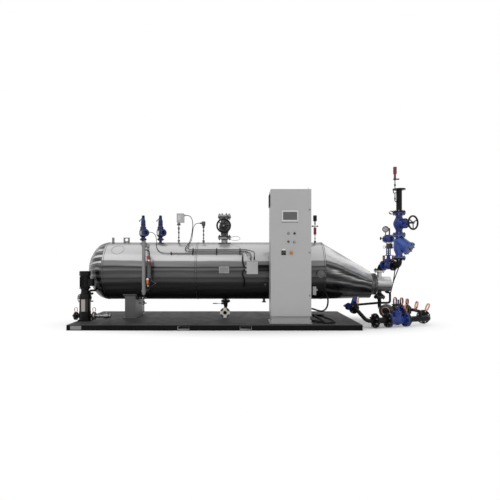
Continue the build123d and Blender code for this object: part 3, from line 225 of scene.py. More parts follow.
@dataclass(frozen=True)
class Paint:
    """Sprayed or brushed paint over metal, with mottling and a fine skin."""

    name: str
    colour: Colour
    roughness: float = 0.4
    mottling: float = 0.12
    mottle_scale: float = 9
    skin_scale: float = 900
    skin_depth: float = 0.00012
    metallic: float = 0.0
    coat: float = 0.0
    shine: float = 0.35

    def make(self) -> Material:
        """Builds the paint's material."""
        graph = Graph(self.name)
        stops = [(0.3, shaded(self.colour, 1 - self.mottling)), (0.7, shaded(self.colour, 1 + self.mottling))]
        wear = graph.noise(self.mottle_scale * 4, 4)
        graph.shade({
            "Base Color": graph.ramp(graph.noise(self.mottle_scale, 5), stops),
            "Roughness": graph.spread(wear, self.roughness * 0.85, self.roughness * 1.15),
            "Metallic": self.metallic, "Specular IOR Level": self.shine, "Coat Weight": self.coat,
            "Coat Roughness": 0.12,
        })
        graph.bump(graph.noise(self.skin_scale, 2), 0.6, self.skin_depth)
        return graph.material


@dataclass(frozen=True)
class Metal:
    """Bare metal with fine brushing along one axis and a little tarnish."""

    name: str
    colour: Colour
    roughness: float = 0.3
    brushing: Triple = (1, 1, 1)
    tarnish: float = 0.2

    def make(self) -> Material:
        """Builds the metal's material."""
        graph = Graph(self.name)
        stops = [(0.35, shaded(self.colour, 1 - self.tarnish)), (0.62, self.colour)]
        lines = graph.noise(240, 2, self.brushing)
        graph.shade({"Base Color": graph.ramp(graph.noise(22, 6, twist=0.6), stops), "Metallic": 1.0,
                     "Roughness": graph.spread(lines, self.roughness * 0.75, self.roughness * 1.3)})
        graph.bump(lines, 0.25, 0.0002)
        return graph.material


@dataclass(frozen=True)
class MirrorSheet:
    """Polished cladding whose colour holds painted reflections: a bright hall above and a dark floor below, in long
    bands.

    The painted bands follow the sheet's axis: each lies at a height that is a share of the radius there, so
    that they run along a shell and slant down a cone. Each end gives X, the axis's height and the radius.
    """

    name: str
    bands: tuple[Pair, ...]
    near_end: Triple = (VESSEL_RIGHT, VESSEL_Z, VESSEL_RADIUS)
    far_end: Triple = (CONE_END_X, CONE_END_Z, CONE_END_RADIUS)
    waver: float = 0.03
    streak: float = 0.3
    roughness: float = 0.2
    metallic: float = 0.5
    gores: int = 0
    gore_reflection_gain: float = 1.35
    gore_reflection_stops: tuple[Pair, ...] = (
        (0.0, 60), (0.08, 120), (0.22, 255), (0.42, 250), (0.55, 140), (0.8, 120), (0.93, 190), (1.0, 60),
    )
    calm_from: float = 0.62
    calm: float = 0.93

    def make(self) -> Material:
        """Builds the cladding's material."""
        graph = Graph(self.name)
        cloud = graph.noise(1.0, 3, (0.7, 2.5, 5.0), twist=0.3)
        height = graph.math("ADD", self.height_share(graph), graph.spread(cloud, -self.waver, self.waver))
        place = graph.math("ADD", graph.math("MULTIPLY", height, 0.5), 0.5, clamp=True)
        colour = graph.ramp(place, [((share + 1) / 2, grey(level)) for share, level in self.bands])
        shade = self.streaks(graph, place)
        if self.gores:
            shade = graph.math("MULTIPLY", shade, self.gore_reflections(graph))
        # The base colour is the painted reflection bands, times the painted streaks and, on a head, the painted
        # gore strips.
        painted_reflection_colour = graph.add("ShaderNodeVectorMath", {0: colour, "Scale": shade}, operation="SCALE")
        fine = graph.noise(1.0, 3, (3, 90, 90))
        graph.shade({"Base Color": painted_reflection_colour.outputs["Vector"], "Metallic": self.metallic,
                     "Roughness": graph.spread(fine, self.roughness * 0.85, self.roughness * 1.2)})
        graph.bump(graph.noise(3.0, 2, (1, 1, 3)), 0.12, 0.004)
        return graph.material

    def height_share(self, graph: Graph) -> Socket:
        """Gives the height above the sheet's axis as a share of the radius there."""
        x, _, z = graph.axes()
        (near_x, near_z, near_radius), (far_x, far_z, far_radius) = self.near_end, self.far_end
        along = graph.math("DIVIDE", graph.math("SUBTRACT", x, near_x), far_x - near_x, clamp=True)
        axis = graph.scaled(along, far_z - near_z, near_z)
        radius = graph.scaled(along, far_radius - near_radius, near_radius)
        return graph.math("DIVIDE", graph.math("SUBTRACT", z, axis), radius)

    def gore_reflections(self, graph: Graph) -> Socket:
        """Gives painted reflections on the gores: a light and a dark strip on each, whose edges fan out from the
        axis.
        """
        _, y, z = graph.axes()
        up, front = graph.math("SUBTRACT", z, self.near_end[1]), graph.math("SUBTRACT", VESSEL_Y, y)
        turns = graph.math("MULTIPLY", graph.math("ARCTAN2", up, front), self.gores / (2 * math.pi))
        wobble = graph.spread(graph.noise(7), -0.12, 0.12)
        share = graph.math("FRACT", graph.math("ADD", turns, wobble), 0.0)
        colour = graph.ramp(share, [(place, grey(level)) for place, level in self.gore_reflection_stops])
        return graph.math("MULTIPLY", colour, self.gore_reflection_gain)

    def streaks(self, graph: Graph, place: Socket) -> Socket:
        """Gives long streaks of painted reflection, strongest in the lower half where the painted bands are darker.
        """
        cloud = graph.noise(1.0, 4, (1.1, 9, 22), twist=0.2)
        above = graph.math("GREATER_THAN", place, self.calm_from)
        depth = graph.scaled(above, -self.streak * self.calm, self.streak)
        return graph.scaled(graph.spread(cloud, -1, 1), depth, 1.0)


# Painted reflections and shade: each band gives a height as a share of the radius, from -1 below the axis to 1
# above, and the display grey painted there. The shell, head and cone paint a bright hall above and a dark floor
# below; the channel paints shade below and light above.
SHELL_REFLECTION_BANDS = (
    (-0.98, 24), (-0.85, 12), (-0.76, 38), (-0.55, 64), (-0.3, 54), (-0.22, 38), (-0.16, 82), (0.02, 56),
    (0.06, 98), (0.12, 66), (0.145, 26), (0.19, 106), (0.345, 108), (0.375, 180), (0.86, 204), (0.96, 96),
)
HEAD_REFLECTION_BANDS = (
    (-0.98, 40), (-0.8, 20), (-0.5, 30), (-0.35, 60), (-0.2, 34), (-0.05, 96), (0.05, 48), (0.15, 130),
    (0.28, 180), (0.36, 84), (0.5, 190), (0.62, 120), (0.74, 200), (0.88, 130), (0.96, 90),
)
CONE_REFLECTION_BANDS = (
    (-0.98, 14), (-0.88, 10), (-0.7, 30), (-0.62, 84), (-0.56, 30), (-0.46, 14), (-0.34, 52), (-0.28, 110),
    (-0.2, 34), (-0.1, 24), (0.0, 84), (0.06, 150), (0.12, 48), (0.2, 36), (0.27, 120), (0.34, 74), (0.4, 176),
    (0.5, 206), (0.7, 212), (0.84, 224), (0.93, 184), (0.98, 128),
)
CHANNEL_REFLECTION_BANDS = (
    (-0.98, 44), (-0.8, 62), (-0.5, 92), (-0.2, 128), (0.1, 176), (0.4, 214), (0.8, 226), (0.95, 200),
)


@dataclass(frozen=True)
class SleeveSteel:
    """A stainless sleeve whose colour holds a painted reflection: one bright upright band of the room, and dark
    beside it.
    """

    name: str
    centre_x: float
    radius: float
    # Painted reflection across the sleeve: each place from left to right and the display colour there.
    bands: tuple[tuple[float, Triple], ...] = (
        (0.0, (34, 30, 30)), (0.24, (66, 54, 54)), (0.31, (150, 147, 142)), (0.62, (164, 162, 158)),
        (0.68, (58, 48, 48)), (1.0, (26, 24, 24)),
    )

    def make(self) -> Material:
        """Builds the sleeve's material."""
        graph = Graph(self.name)
        x = graph.axes()[0]
        across = graph.math("DIVIDE", graph.math("SUBTRACT", x, self.centre_x), 2 * self.radius)
        waver = graph.spread(graph.noise(6, 3, (0.2, 0.2, 1)), -0.015, 0.015)
        place = graph.math("ADD", graph.math("ADD", across, 0.5, clamp=True), waver)
        graph.shade({"Base Color": graph.ramp(place, [(share, display(*levels)) for share, levels in self.bands]),
                     "Metallic": 0.5, "Roughness": 0.3})
        graph.bump(graph.noise(300, 2, (1, 1, 0.02)), 0.2, 0.0002)
        return graph.material


@dataclass(frozen=True)
class ConduitFinish:
    """Bright rigid tubes above a height, and black flexible hose below it."""

    name: str
    change_z: float
    tube: Colour
    hose: Colour

    def make(self) -> Material:
        """Builds the conduits' material."""
        graph = Graph(self.name)
        above = graph.math("GREATER_THAN", graph.axes()[2], self.change_z)
        graph.shade({"Base Color": graph.mix(above, self.hose, self.tube), "Roughness": 0.38,
                     "Metallic": graph.math("MULTIPLY", above, 0.85), "Specular IOR Level": 0.2})
        graph.bump(graph.noise(220, 2, (8, 1, 1)), 0.2, 0.0002)
        return graph.material


class Finishes:
    """All finishes of the plant, each built once."""

    def __init__(self) -> None:
        """Builds every material."""
        # The shell, head, cone and channel finishes paint reflections and shade into their colour.
        self.mirror = MirrorSheet("mirror_sheet_painted_reflection", SHELL_REFLECTION_BANDS).make()
        self.gores = MirrorSheet("mirror_gores_painted_reflection", HEAD_REFLECTION_BANDS, waver=0.1, streak=0.4, gores=26).make()
        self.cone = MirrorSheet("mirror_cone_painted_reflection", CONE_REFLECTION_BANDS, waver=0.1, streak=0.9).make()
        channel_ends = ((2.6, CHANNEL_Z, CHANNEL_RADIUS), (2.9, CHANNEL_Z, CHANNEL_RADIUS))
        self.channel = MirrorSheet("channel_jacket_painted_shade", CHANNEL_REFLECTION_BANDS, *channel_ends, roughness=0.3, streak=0.12,
                                   metallic=0.4).make()
        # The sleeve's colour is a painted reflection band.
        self.sleeve = SleeveSteel("pump_sleeve_painted_reflection", -2.035, 0.082).make()
        self.deck = Paint("deck_paint", grey(62), 0.6, 0.3, 2.2, 300, 0.0004, shine=0.18).make()
        self.rail = Paint("rail_paint", grey(14), 0.5, 0.25, 6, 400, 0.0003, shine=0.08).make()
        # Pale paint for the sensor box's label, and for the fork pockets' linings, where it is painted light that
        # shows through the open pockets.
        self.label_and_pocket_light = Paint("pale_label_and_pocket_light", grey(196), 0.6, 0.2, 8, 300, 0.0003).make()
        self.cabinet = Paint("cabinet_powder", display(164, 164, 164), 0.42, 0.025, 2.5, 1400, 0.00008).make()
        self.grey_paint = Paint("grey_paint", grey(128), 0.45, 0.08, 6, 500, 0.0002).make()
        self.saddle = Paint("saddle_paint", grey(92), 0.5, 0.16, 4, 500, 0.0002).make()
        self.blue = Paint("blue_enamel", display(28, 48, 116), 0.26, 0.5, 22, 260, 0.0006, coat=0.3,
                          shine=0.2).make()
        self.navy = Paint("navy_enamel", display(24, 40, 92), 0.32, 0.4, 14, 260, 0.0006, coat=0.25,
                          shine=0.2).make()
        self.black = Paint("black_enamel", grey(13), 0.36, 0.3, 12, 300, 0.0005, shine=0.16).make()
        self.steel = Metal("turned_steel", grey(160), 0.32, (1, 1, 8), 0.35).make()
        self.dull_steel = Metal("dull_steel", grey(98), 0.42, (1, 1, 3), 0.5).make()
        self.dark_steel = Metal("dark_fittings", grey(64), 0.4, (1, 1, 2), 0.5).make()
        self.cast = Paint("cast_steel", grey(72), 0.45, 0.45, 26, 220, 0.0012, metallic=0.6).make()
        self.fastener = Metal("zinc_fasteners", grey(120), 0.36, (1, 1, 1), 0.4).make()
        self.copper = Metal("copper_strip", display(216, 164, 146), 0.3, (1, 1, 1), 0.3).make()
        self.rubber = Paint("cable_sheath", grey(12), 0.5, 0.2, 30, 700, 0.0003, shine=0.14).make()
        self.plastic = Paint("black_plastic", grey(15), 0.4, 0.1, 20, 1200, 0.0001, shine=0.2).make()
        self.red = Paint("red_enamel", display(160, 30, 42), 0.3, 0.15, 20, 500, 0.0003, coat=0.4).make()
        self.wine = Paint("wine_red_cap", display(104, 22, 44), 0.35, 0.15, 30, 500, 0.0002, coat=0.3).make()
        self.orange = Paint("orange_plastic", display(196, 92, 36), 0.35, 0.1, 20, 700, 0.0001, coat=0.3).make()
        self.cream = Paint("cream_face", display(222, 216, 198), 0.5, 0.08, 20, 500, 0.0002).make()
        self.sand = Paint("sand_plate", display(176, 158, 148), 0.5, 0.2, 40, 500, 0.0002).make()
        self.box = Paint("box_grey", grey(172), 0.45, 0.05, 8, 900, 0.0001).make()
        self.bezel = Paint("bezel_grey", grey(186), 0.4, 0.03, 8, 900, 0.0001).make()
        self.glass = Paint("screen_glass", grey(84), 0.2, 0.06, 10, 60, 0.00001, coat=0.25).make()
        self.dark_grey = Paint("dark_grey_parts", grey(66), 0.45, 0.15, 20, 700, 0.0002).make()
        self.lamp = Paint("lamp_lens", grey(140), 0.25, 0.06, 20, 700, 0.0001, coat=0.6).make()
        self.conduit = ConduitFinish("conduit_tube", 1.075, grey(120), grey(14)).make()
        self.plate = Paint("bare_plate", grey(128), 0.4, 0.06, 14, 700, 0.0001, metallic=0.3).make()
        # A lighter blue that paints the highlight on the strainer's upper side.
        self.painted_highlight_blue = Paint("blue_highlight", display(42, 72, 146), 0.3, 0.25, 14, 260, 0.0006, coat=0.4,
                                 shine=0.3).make()
        self.tag = Paint("tag_yellow", display(150, 142, 62), 0.5, 0.1, 20, 500, 0.0002).make()


def placed(name: str, data: bpy.types.ID) -> bpy.types.Object:
    """Makes an object of a mesh, curve, lamp or camera and puts it into the scene."""
    thing = bpy.data.objects.new(name, data)
    bpy.context.scene.collection.objects.link(thing)
    return thing


def plain_mesh(thing: bpy.types.Object) -> bpy.types.Mesh:
    """Turns an object with its modifiers into a plain mesh, and removes the object."""
    bpy.context.view_layer.update()
    ready = thing.evaluated_get(bpy.context.evaluated_depsgraph_get())
    mesh = bpy.data.meshes.new_from_object(ready)
    bpy.data.objects.remove(thing)
    return mesh


def smooth_curve(name: str, points: Route, radius: float, sides: int, closed: bool = False) -> bpy.types.Object:
    """Lays a round wire along smooth points.

    Args:
        name: The curve's name.
        points: The points that steer it.
        radius: The wire's radius.
        sides: How finely it is rounded.
        closed: Whether it joins up with its start.

    Returns:
        The curve object, at the origin.
    """
    curve = bpy.data.curves.new(name, "CURVE")
    curve.dimensions = "3D"
    spline = curve.splines.new("NURBS")
    spline.points.add(len(points) - 1)
    for point, place in zip(spline.points, points):
        point.co = (*place, 1)
    spline.order_u = 3
    spline.use_endpoint_u = not closed
    spline.use_cyclic_u = closed
    curve.bevel_depth = radius
    curve.bevel_resolution = sides
    curve.use_fill_caps = True
    return placed(name, curve)


def collar(radius: float, low: float, length: float, soft: float, trim: float | None = None) -> Profile:
    """Gives the outline of a bar whose ends are softened along it, and across it by the same or another length."""
    end = radius - (soft if trim is None else trim)
    return [(end, low), (radius, low + soft), (radius, low + length - soft), (end, low + length)]


def turned_mesh(profile: Profile, segments: int = 32, closed: bool = False) -> Shape:
    """Turns an outline about Z.

    Args:
        profile: Points of radius and height, from one end to the other.
        segments: How many faces go round.
        closed: Whether the outline joins up with its start, as a ring's does.

    Returns:
        A closed mesh, its poles filled.
    """
    work = bmesh.new()
    rings = []
    for radius, height in profile:
        if radius < 1e-6:
            rings.append([work.verts.new((0, 0, height))])
            continue
        angles = [2 * math.pi * step / segments for step in range(segments)]
        rings.append([work.verts.new((radius * math.cos(a), radius * math.sin(a), height)) for a in angles])
    pairs = list(zip(rings, rings[1:])) + ([(rings[-1], rings[0])] if closed else [])
    for low, high in pairs:
        for step in range(segments):
            after = (step + 1) % segments
            corners = [low[step % len(low)], low[after % len(low)], high[after % len(high)], high[step % len(high)]]
            corners = list(dict.fromkeys(corners))
            if len(corners) > 2:
                work.faces.new(corners)
    for end in () if closed else (rings[0], rings[-1]):
        if len(end) > 1:
            work.faces.new(end)
    bmesh.ops.recalc_face_normals(work, faces=work.faces)
    return work


def strip_mesh(sections: list[list[Vector]]) -> Shape:
    """Joins four-cornered sections into one closed strip."""
    work = bmesh.new()
    rows = [[work.verts.new(corner) for corner in section] for section in sections]
    for before, after in zip(rows, rows[1:]):
        for corner in range(4):
            beside = (corner + 1) % 4
            work.faces.new((before[corner], before[beside], after[beside], after[corner]))
    work.faces.new(rows[0])
    work.faces.new(rows[-1])
    bmesh.ops.recalc_face_normals(work, faces=work.faces)
    return work


def sector_mesh(inner: float, outer: float, low: float, high: float, start: float, sweep: float) -> Shape:
    """Makes a closed piece of a ring about Z, from a start angle over a sweep, both in degrees."""
    sections, steps = [], 12
    for step in range(steps + 1):
        angle = math.radians(start + sweep * step / steps)
        side = Vector((math.cos(angle), math.sin(angle), 0))
        sections.append([side * radius + UP * height
                         for radius, height in ((inner, low), (outer, low), (outer, high), (inner, high))])
    return strip_mesh(sections)


def ribbon_mesh(line: Seam, width: float, thickness: float) -> Shape:
    """Makes a closed flat strip along a line of points, each with the surface's outward way."""
    points = [point for point, _ in line]
    sections = []
    for place, (point, out) in enumerate(line):
        before, after = points[max(0, place - 1)], points[min(len(points) - 1, place + 1)]
        side = (after - before).cross(out).normalized() * (width / 2)
        rise = out.normalized() * thickness
        sections.append([point + corner for corner in (-side, side, side + rise, rise - side)])
    return strip_mesh(sections)


def radial_way(angle: float) -> Vector:
    """Gives the way out of the vessel's axis at an angle in degrees above the front."""
    turn = math.radians(angle)
    return Vector((0, -math.cos(turn), math.sin(turn)))


def dome_point(share: float, angle: float, lift: float = 0.0) -> tuple[Vector, Vector]:
    """Finds a point on the dished head and the way out of the head there.

    Args:
        share: How far from the axis the point lies, as a share of the vessel's radius.
        angle: Its angle about the axis, in degrees from the front.
        lift: How far above the sheet it lies.

    Returns:
        The point and the outward direction.
    """
    knuckle_centre = VESSEL_RADIUS - KNUCKLE_RADIUS
    crown = (knuckle_centre**2 + HEAD_DEPTH**2 - KNUCKLE_RADIUS**2) / (2 * (HEAD_DEPTH - KNUCKLE_RADIUS))
    reach = share * VESSEL_RADIUS
    rise = math.asin((crown - HEAD_DEPTH) / (crown - KNUCKLE_RADIUS))
    if reach > knuckle_centre + KNUCKLE_RADIUS * math.cos(rise):
        across = (reach - knuckle_centre) / KNUCKLE_RADIUS
        depth = KNUCKLE_RADIUS * math.sqrt(max(0.0, 1 - across**2))
        flat = Vector((across, depth / KNUCKLE_RADIUS))
    else:
        across = reach / crown
        depth = math.sqrt(crown**2 - reach**2) + HEAD_DEPTH - crown
        flat = Vector((across, math.sqrt(1 - across**2)))
    radial = radial_way(angle)
    out = radial * flat.x - RIGHT * flat.y
    place = Vector((VESSEL_LEFT - depth, VESSEL_Y, VESSEL_Z)) + radial * reach
    return place + out * lift, out


def shell_point(x: float, angle: float, lift: float = 0.0) -> tuple[Vector, Vector]:
    """Finds a point on the shell at X and an angle in degrees above the front, and the way out there."""
    out = radial_way(angle)
    return Vector((x, VESSEL_Y, VESSEL_Z)) + out * (VESSEL_RADIUS + lift), out


def aimed(centre: Vector, axis: Vector, turn: float = 0.0) -> Matrix:
    """Gives the matrix that stands Z along an axis at a centre, turned about it by an angle."""
    spin = Matrix.Rotation(turn, 4, "Z")
    return Matrix.Translation(centre) @ Vector(axis).to_track_quat("Z", "Y").to_matrix().to_4x4() @ spin


class Batch:
    """Many small shapes joined into one mesh, with one material for each kind."""

    ROUND = 10
    HOOP_SEGMENTS, BALL_SEGMENTS = 40, 20

    def __init__(self) -> None:
        """Starts an empty batch."""
        self.work = bmesh.new()
        self.materials: list[Material] = []

    def index(self, material: Material) -> int:
        """Gives the place of a material in the batch, adding it if it is new."""
        if material not in self.materials:
            self.materials.append(material)
        return self.materials.index(material)

    def take(self, shape: Shape, matrix: Matrix, material: Material, smooth: bool = True) -> None:
        """Moves a shape to its place and adds it."""
        shape.transform(matrix)
        mesh = bpy.data.meshes.new("shape")
        shape.to_mesh(mesh)
        shape.free()
        self.take_mesh(mesh, material, smooth)

    def take_mesh(self, mesh: bpy.types.Mesh, material: Material, smooth: bool = True) -> None:
        """Adds a mesh that is already in its place, and removes it."""
        start = len(self.work.faces)
        self.work.from_mesh(mesh)
        self.work.faces.ensure_lookup_table()
        place = self.index(material)
        for face in self.work.faces[start:]:
            face.material_index = place
            face.smooth = smooth
        bpy.data.meshes.remove(mesh)

    def turn(self, profile: Profile, centre: Vector, axis: Vector, material: Material, segments: int = 32,
             smooth: bool = True) -> None:
        """Adds a turned shape whose Z lies along an axis."""
        self.take(turned_mesh(profile, segments), aimed(centre, axis), material, smooth)

    def ring(self, radii: Pair, span: Pair, centre: Vector, axis: Vector, material: Material,
             segments: int) -> None:
        """Adds a flat ring between two radii that spans two heights along an axis."""
        (inner, outer), (low, high) = radii, span
        profile = [(inner, low), (outer, low), (outer, high), (inner, high)]
        self.take(turned_mesh(profile, segments, closed=True), aimed(centre, axis), material, smooth=False)

    def hoop(self, radius: float, wire: float, centre: Vector, axis: Vector, material: Material) -> None:
        """Adds a round hoop of round wire about an axis."""
        turns = [2 * math.pi * step / self.ROUND for step in range(self.ROUND)]
        profile = [(radius + wire * math.cos(turn), wire * math.sin(turn)) for turn in turns]
        self.take(turned_mesh(profile, self.HOOP_SEGMENTS, closed=True), aimed(centre, axis), material)

    def ribbon(self, line: Seam, width: float, thickness: float, material: Material) -> None:
        """Adds a flat strip along points on a surface."""
        self.take(ribbon_mesh(line, width, thickness), Matrix.Identity(4), material, smooth=False)

    def rod(self, start: Vector, end: Vector, radius: float, material: Material) -> None:
        """Adds a round bar with soft ends from start to end."""
        length = (end - start).length
        self.turn(collar(radius, 0, length, min(radius * 0.25, length * 0.2)), start, end - start, material, 16)

    def ball(self, centre: Vector, radius: float, material: Material) -> None:
        """Adds a round knob."""
        turns = [math.pi * step / self.ROUND for step in range(self.ROUND + 1)]
        profile = [(radius * math.sin(turn), -radius * math.cos(turn)) for turn in turns]
        self.turn(profile, centre, UP, material, self.BALL_SEGMENTS)

    def box(self, low: Triple, high: Triple, material: Material, bevel: float = 0.0,
            matrix: Matrix | None = None) -> None:
        """Adds a box from its low to its high corner, with soft edges."""
        shape = bmesh.new()
        bmesh.ops.create_cube(shape, size=1)
        size = [b - a for a, b in zip(low, high)]
        middle = [(a + b) / 2 for a, b in zip(low, high)]
        shape.transform(Matrix.Translation(middle) @ Matrix.Diagonal((*size, 1)))
        if bevel:
            bmesh.ops.bevel(shape, geom=shape.edges[:], offset=bevel, segments=2, affect="EDGES", profile=0.5)
        self.take(shape, matrix or Matrix.Identity(4), material, smooth=False)

    def wire(self, points: Route, radius: float, material: Material, closed: bool = False, sides: int = 3) -> None:
        """Adds a round wire along smooth points."""
        thing = smooth_curve("wire", points, radius, sides, closed)
        curve = thing.data
        self.take_mesh(plain_mesh(thing), material)
        bpy.data.curves.remove(curve)

    def finish(self, name: str, body: str, slot: Slot) -> bpy.types.Object:
        """Turns the batch into one piece that rides on a body."""
        mesh = bpy.data.meshes.new(name)
        self.work.to_mesh(mesh)
        self.work.free()
        for material in self.materials:
            mesh.materials.append(material)
        piece = placed(name, mesh)
        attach(piece, body)
        log.info("%s rides on %s", name, body)
        return piece


@dataclass(frozen=True)
class BoltRing:
    """The bolts of one flange joint: studs with a nut at each end."""

    centre: Vector
    axis: Vector
    circle: float
    count: int
    grip: float
    across: float


class Repeater:
    """Geometry Nodes that set copies of one shape on points, with named inputs for its sizes."""

    def __init__(self, name: str, inputs: dict[str, str]) -> None:
        """Starts the tree and builds it.

        Args:
            name: The tree's name.
            inputs: Each input's name and kind.
        """
        self.nodes = Nodes(bpy.data.node_groups.new(name, "GeometryNodeTree"))
        face = self.nodes.tree.interface
        face.new_socket("Geometry", in_out="OUTPUT", socket_type="NodeSocketGeometry")
        self.sockets = {key: face.new_socket(key, in_out="INPUT", socket_type=f"NodeSocket{kind}").identifier
                        for key, kind in inputs.items()}
        self.sizes = self.nodes.add("NodeGroupInput").outputs
        self.build()

    def build(self) -> None:
        """Lays out the tree; each kind of repeater has its own."""
        raise NotImplementedError

    def repeat(self, points: Socket, shape: Socket, turn: Socket) -> None:
        """Sets the shape on the points, makes the copies real and gives them their finish."""
        add = self.nodes.add
        copies = add("GeometryNodeInstanceOnPoints", {"Points": points, "Instance": shape, "Rotation": turn})
        real = add("GeometryNodeRealizeInstances", {"Geometry": copies.outputs["Instances"]})
        dressed = add("GeometryNodeSetMaterial", {"Geometry": real.outputs["Geometry"],
                                                  "Material": self.sizes["Finish"]})
        add("NodeGroupOutput", {"Geometry": dressed.outputs["Geometry"]})

    def run(self, seed_mesh: bpy.types.Mesh, values: dict[str, object]) -> bpy.types.Mesh:
        """Runs the tree on a mesh, which is removed, and returns the copies as a plain mesh."""
        carrier = placed("carrier", seed_mesh)
        modifier = carrier.modifiers.new("copies", "NODES")
        modifier.node_group = self.nodes.tree
        for name, value in values.items():
            modifier[self.sockets[name]] = value
        mesh = plain_mesh(carrier)
        bpy.data.meshes.remove(seed_mesh)
        return mesh


class BoltMaker(Repeater):
    """Sets studs with two nuts round a bolt circle, each turned at random."""

    SEED, MOST_TURN = 7, 1.05
    STUD_SIDES, STUD_RADIUS, STUD_OVERLAP = 12, 0.32, 1.7
    NUT_SIDES, NUT_RADIUS, NUT_HEIGHT = 6, 0.577, 0.5

    def __init__(self) -> None:
        """Names the tree and its inputs; a nut's sizes are shares of the width across its flats."""
        super().__init__("stud_ring", {"Count": "Int", "Circle": "Float", "Across": "Float", "Grip": "Float",
                                       "Finish": "Material"})

    def build(self) -> None:
        """Lays out a stud with its nuts on a circle's points."""
        add, sizes, scaled = self.nodes.add, self.sizes, self.nodes.scaled
        circle = add("GeometryNodeMeshCircle", {"Vertices": sizes["Count"], "Radius": sizes["Circle"]})
        stud = add("GeometryNodeMeshCylinder", {
            "Vertices": self.STUD_SIDES, "Radius": scaled(sizes["Across"], self.STUD_RADIUS),
            "Depth": scaled(sizes["Across"], self.STUD_OVERLAP, sizes["Grip"]),
        })
        joined = add("GeometryNodeJoinGeometry", {"Geometry": stud.outputs["Mesh"]})
        for side in (-1, 1):
            nut = add("GeometryNodeMeshCylinder", {
                "Vertices": self.NUT_SIDES, "Radius": scaled(sizes["Across"], self.NUT_RADIUS),
                "Depth": scaled(sizes["Across"], self.NUT_HEIGHT),
            })
            lift = scaled(sizes["Grip"], side / 2, scaled(sizes["Across"], side * self.NUT_HEIGHT / 2))
            place = add("ShaderNodeCombineXYZ", {"Z": lift})
            move = add("GeometryNodeTransform", {"Geometry": nut.outputs["Mesh"],
                                                 "Translation": place.outputs["Vector"]})
            self.nodes.feed(joined.inputs["Geometry"], move.outputs["Geometry"])
        limits = {"Min": (0, 0, 0), "Max": (0, 0, self.MOST_TURN), "Seed": self.SEED}
        turn = add("FunctionNodeRandomValue", limits, data_type="FLOAT_VECTOR")
        self.repeat(circle.outputs["Mesh"], joined.outputs["Geometry"], turn.outputs["Value"])

    def add(self, batch: Batch, ring: BoltRing, material: Material) -> None:
        """Adds one ring of bolts to a batch.

        Args:
            batch: The batch that takes the bolts.
            ring: Where the bolts stand and how large they are.
            material: Their finish.
        """
        values = {"Count": ring.count, "Circle": ring.circle, "Across": ring.across, "Grip": ring.grip}
        mesh = self.run(bpy.data.meshes.new("stud_carrier"), {**values, "Finish": material})
        mesh.transform(aimed(ring.centre, ring.axis, math.pi / ring.count))
        batch.take_mesh(mesh, material, smooth=False)


class RivetMaker(Repeater):
    """Sets a domed rivet on every point of a seam, along the sheet's outward way."""

    WAY = "way"
    SEGMENTS, RINGS, FLATNESS = 10, 6, 0.5

    def __init__(self) -> None:
        """Names the tree and its inputs."""
        super().__init__("rivet_seam", {"Seam": "Geometry", "Radius": "Float", "Finish": "Material"})

    def build(self) -> None:
        """Lays out a flattened ball that stands along the seam's own attribute."""
        add = self.nodes.add
        head = add("GeometryNodeMeshUVSphere", {"Segments": self.SEGMENTS, "Rings": self.RINGS,
                                                "Radius": self.sizes["Radius"]})
        flat = add("GeometryNodeTransform", {"Scale": (1, 1, self.FLATNESS), "Geometry": head.outputs["Mesh"]})
        way = add("GeometryNodeInputNamedAttribute", {"Name": self.WAY}, data_type="FLOAT_VECTOR")
        stand = add("FunctionNodeAlignRotationToVector", {"Vector": way.outputs["Attribute"]}, axis="Z")
        self.repeat(self.sizes["Seam"], flat.outputs["Geometry"], stand.outputs["Rotation"])

    def add(self, batch: Batch, seam: Seam, radius: float, material: Material) -> None:
        """Adds a seam's rivets to a batch.

        Args:
            batch: The batch that takes them.
            seam: Each rivet's place and outward direction.
            radius: A rivet head's radius.
            material: Their finish.
        """
        mesh = bpy.data.meshes.new("seam")
        mesh.from_pydata([place for place, _ in seam], [], [])
        way = mesh.attributes.new(self.WAY, "FLOAT_VECTOR", "POINT")
        for point, (_, out) in zip(way.data, seam):
            point.vector = out
        batch.take_mesh(self.run(mesh, {"Radius": radius, "Finish": material}), material)


@dataclass(frozen=True)
class Bore:
    """One standard flange: its radius, thickness, bolt circle, bolts and nut size."""

    flange: float
    thick: float
    circle: float
    count: int
    across: float = 0.024


SMALL = Bore(0.058, 0.014, 0.042, 4, 0.018)
DN40 = Bore(0.075, 0.016, 0.055, 4, 0.02)
DN50 = Bore(0.082, 0.020, 0.062, 4)
DN65 = Bore(0.092, 0.020, 0.072, 4)
DN80 = Bore(0.100, 0.020, 0.080, 8)
DN100 = Bore(0.110, 0.024, 0.090, 8)


@dataclass
class Workshop:
    """The finishes and the makers that every sub-assembly draws on."""

    finishes: Finishes
    bolts: BoltMaker
    rivets: RivetMaker


@dataclass
class Dress(Batch):
    """A sub-assembly's trim: its small shapes, joined into one piece on one body."""

    PIECE: ClassVar[str]
    SLOT: ClassVar[Slot] = Slot.STEEL
    BODY: ClassVar[str] = PLANT
    REPLACES: ClassVar[str] = ""
    shop: Workshop

    def __post_init__(self) -> None:
        """Starts the batch."""
        super().__init__()
        self.fin = self.shop.finishes

    def build(self) -> None:
        """Adds the shapes and turns them into the piece."""
        self.shapes()
        piece = self.finish(self.PIECE, self.BODY, self.SLOT)
        if self.REPLACES:
            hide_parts(self.REPLACES)

    def shapes(self) -> None:
        """Adds the shapes; each sub-assembly has its own."""
        raise NotImplementedError

    def bolt(self, centre: Vector, axis: Vector, circle: float, count: int, grip: float, across: float = 0.016,
             material: Material | None = None) -> None:
        """Bolts a cover, gland or flange with a ring of studs."""
        ring = BoltRing(centre, axis, circle, count, grip, across)
        self.shop.bolts.add(self, ring, material or self.fin.fastener)

    def joint(self, centre: Vector, axis: Vector, bore: Bore, grip: float | None = None) -> None:
        """Bolts one flange joint, whose grip is two flanges unless it is given."""
        self.bolt(centre, axis, bore.circle, bore.count, grip or 2 * bore.thick, bore.across)

    def rivet(self, seam: Seam, radius: float = 0.004) -> None:
        """Rivets a seam."""
        self.shop.rivets.add(self, seam, radius, self.fin.steel)


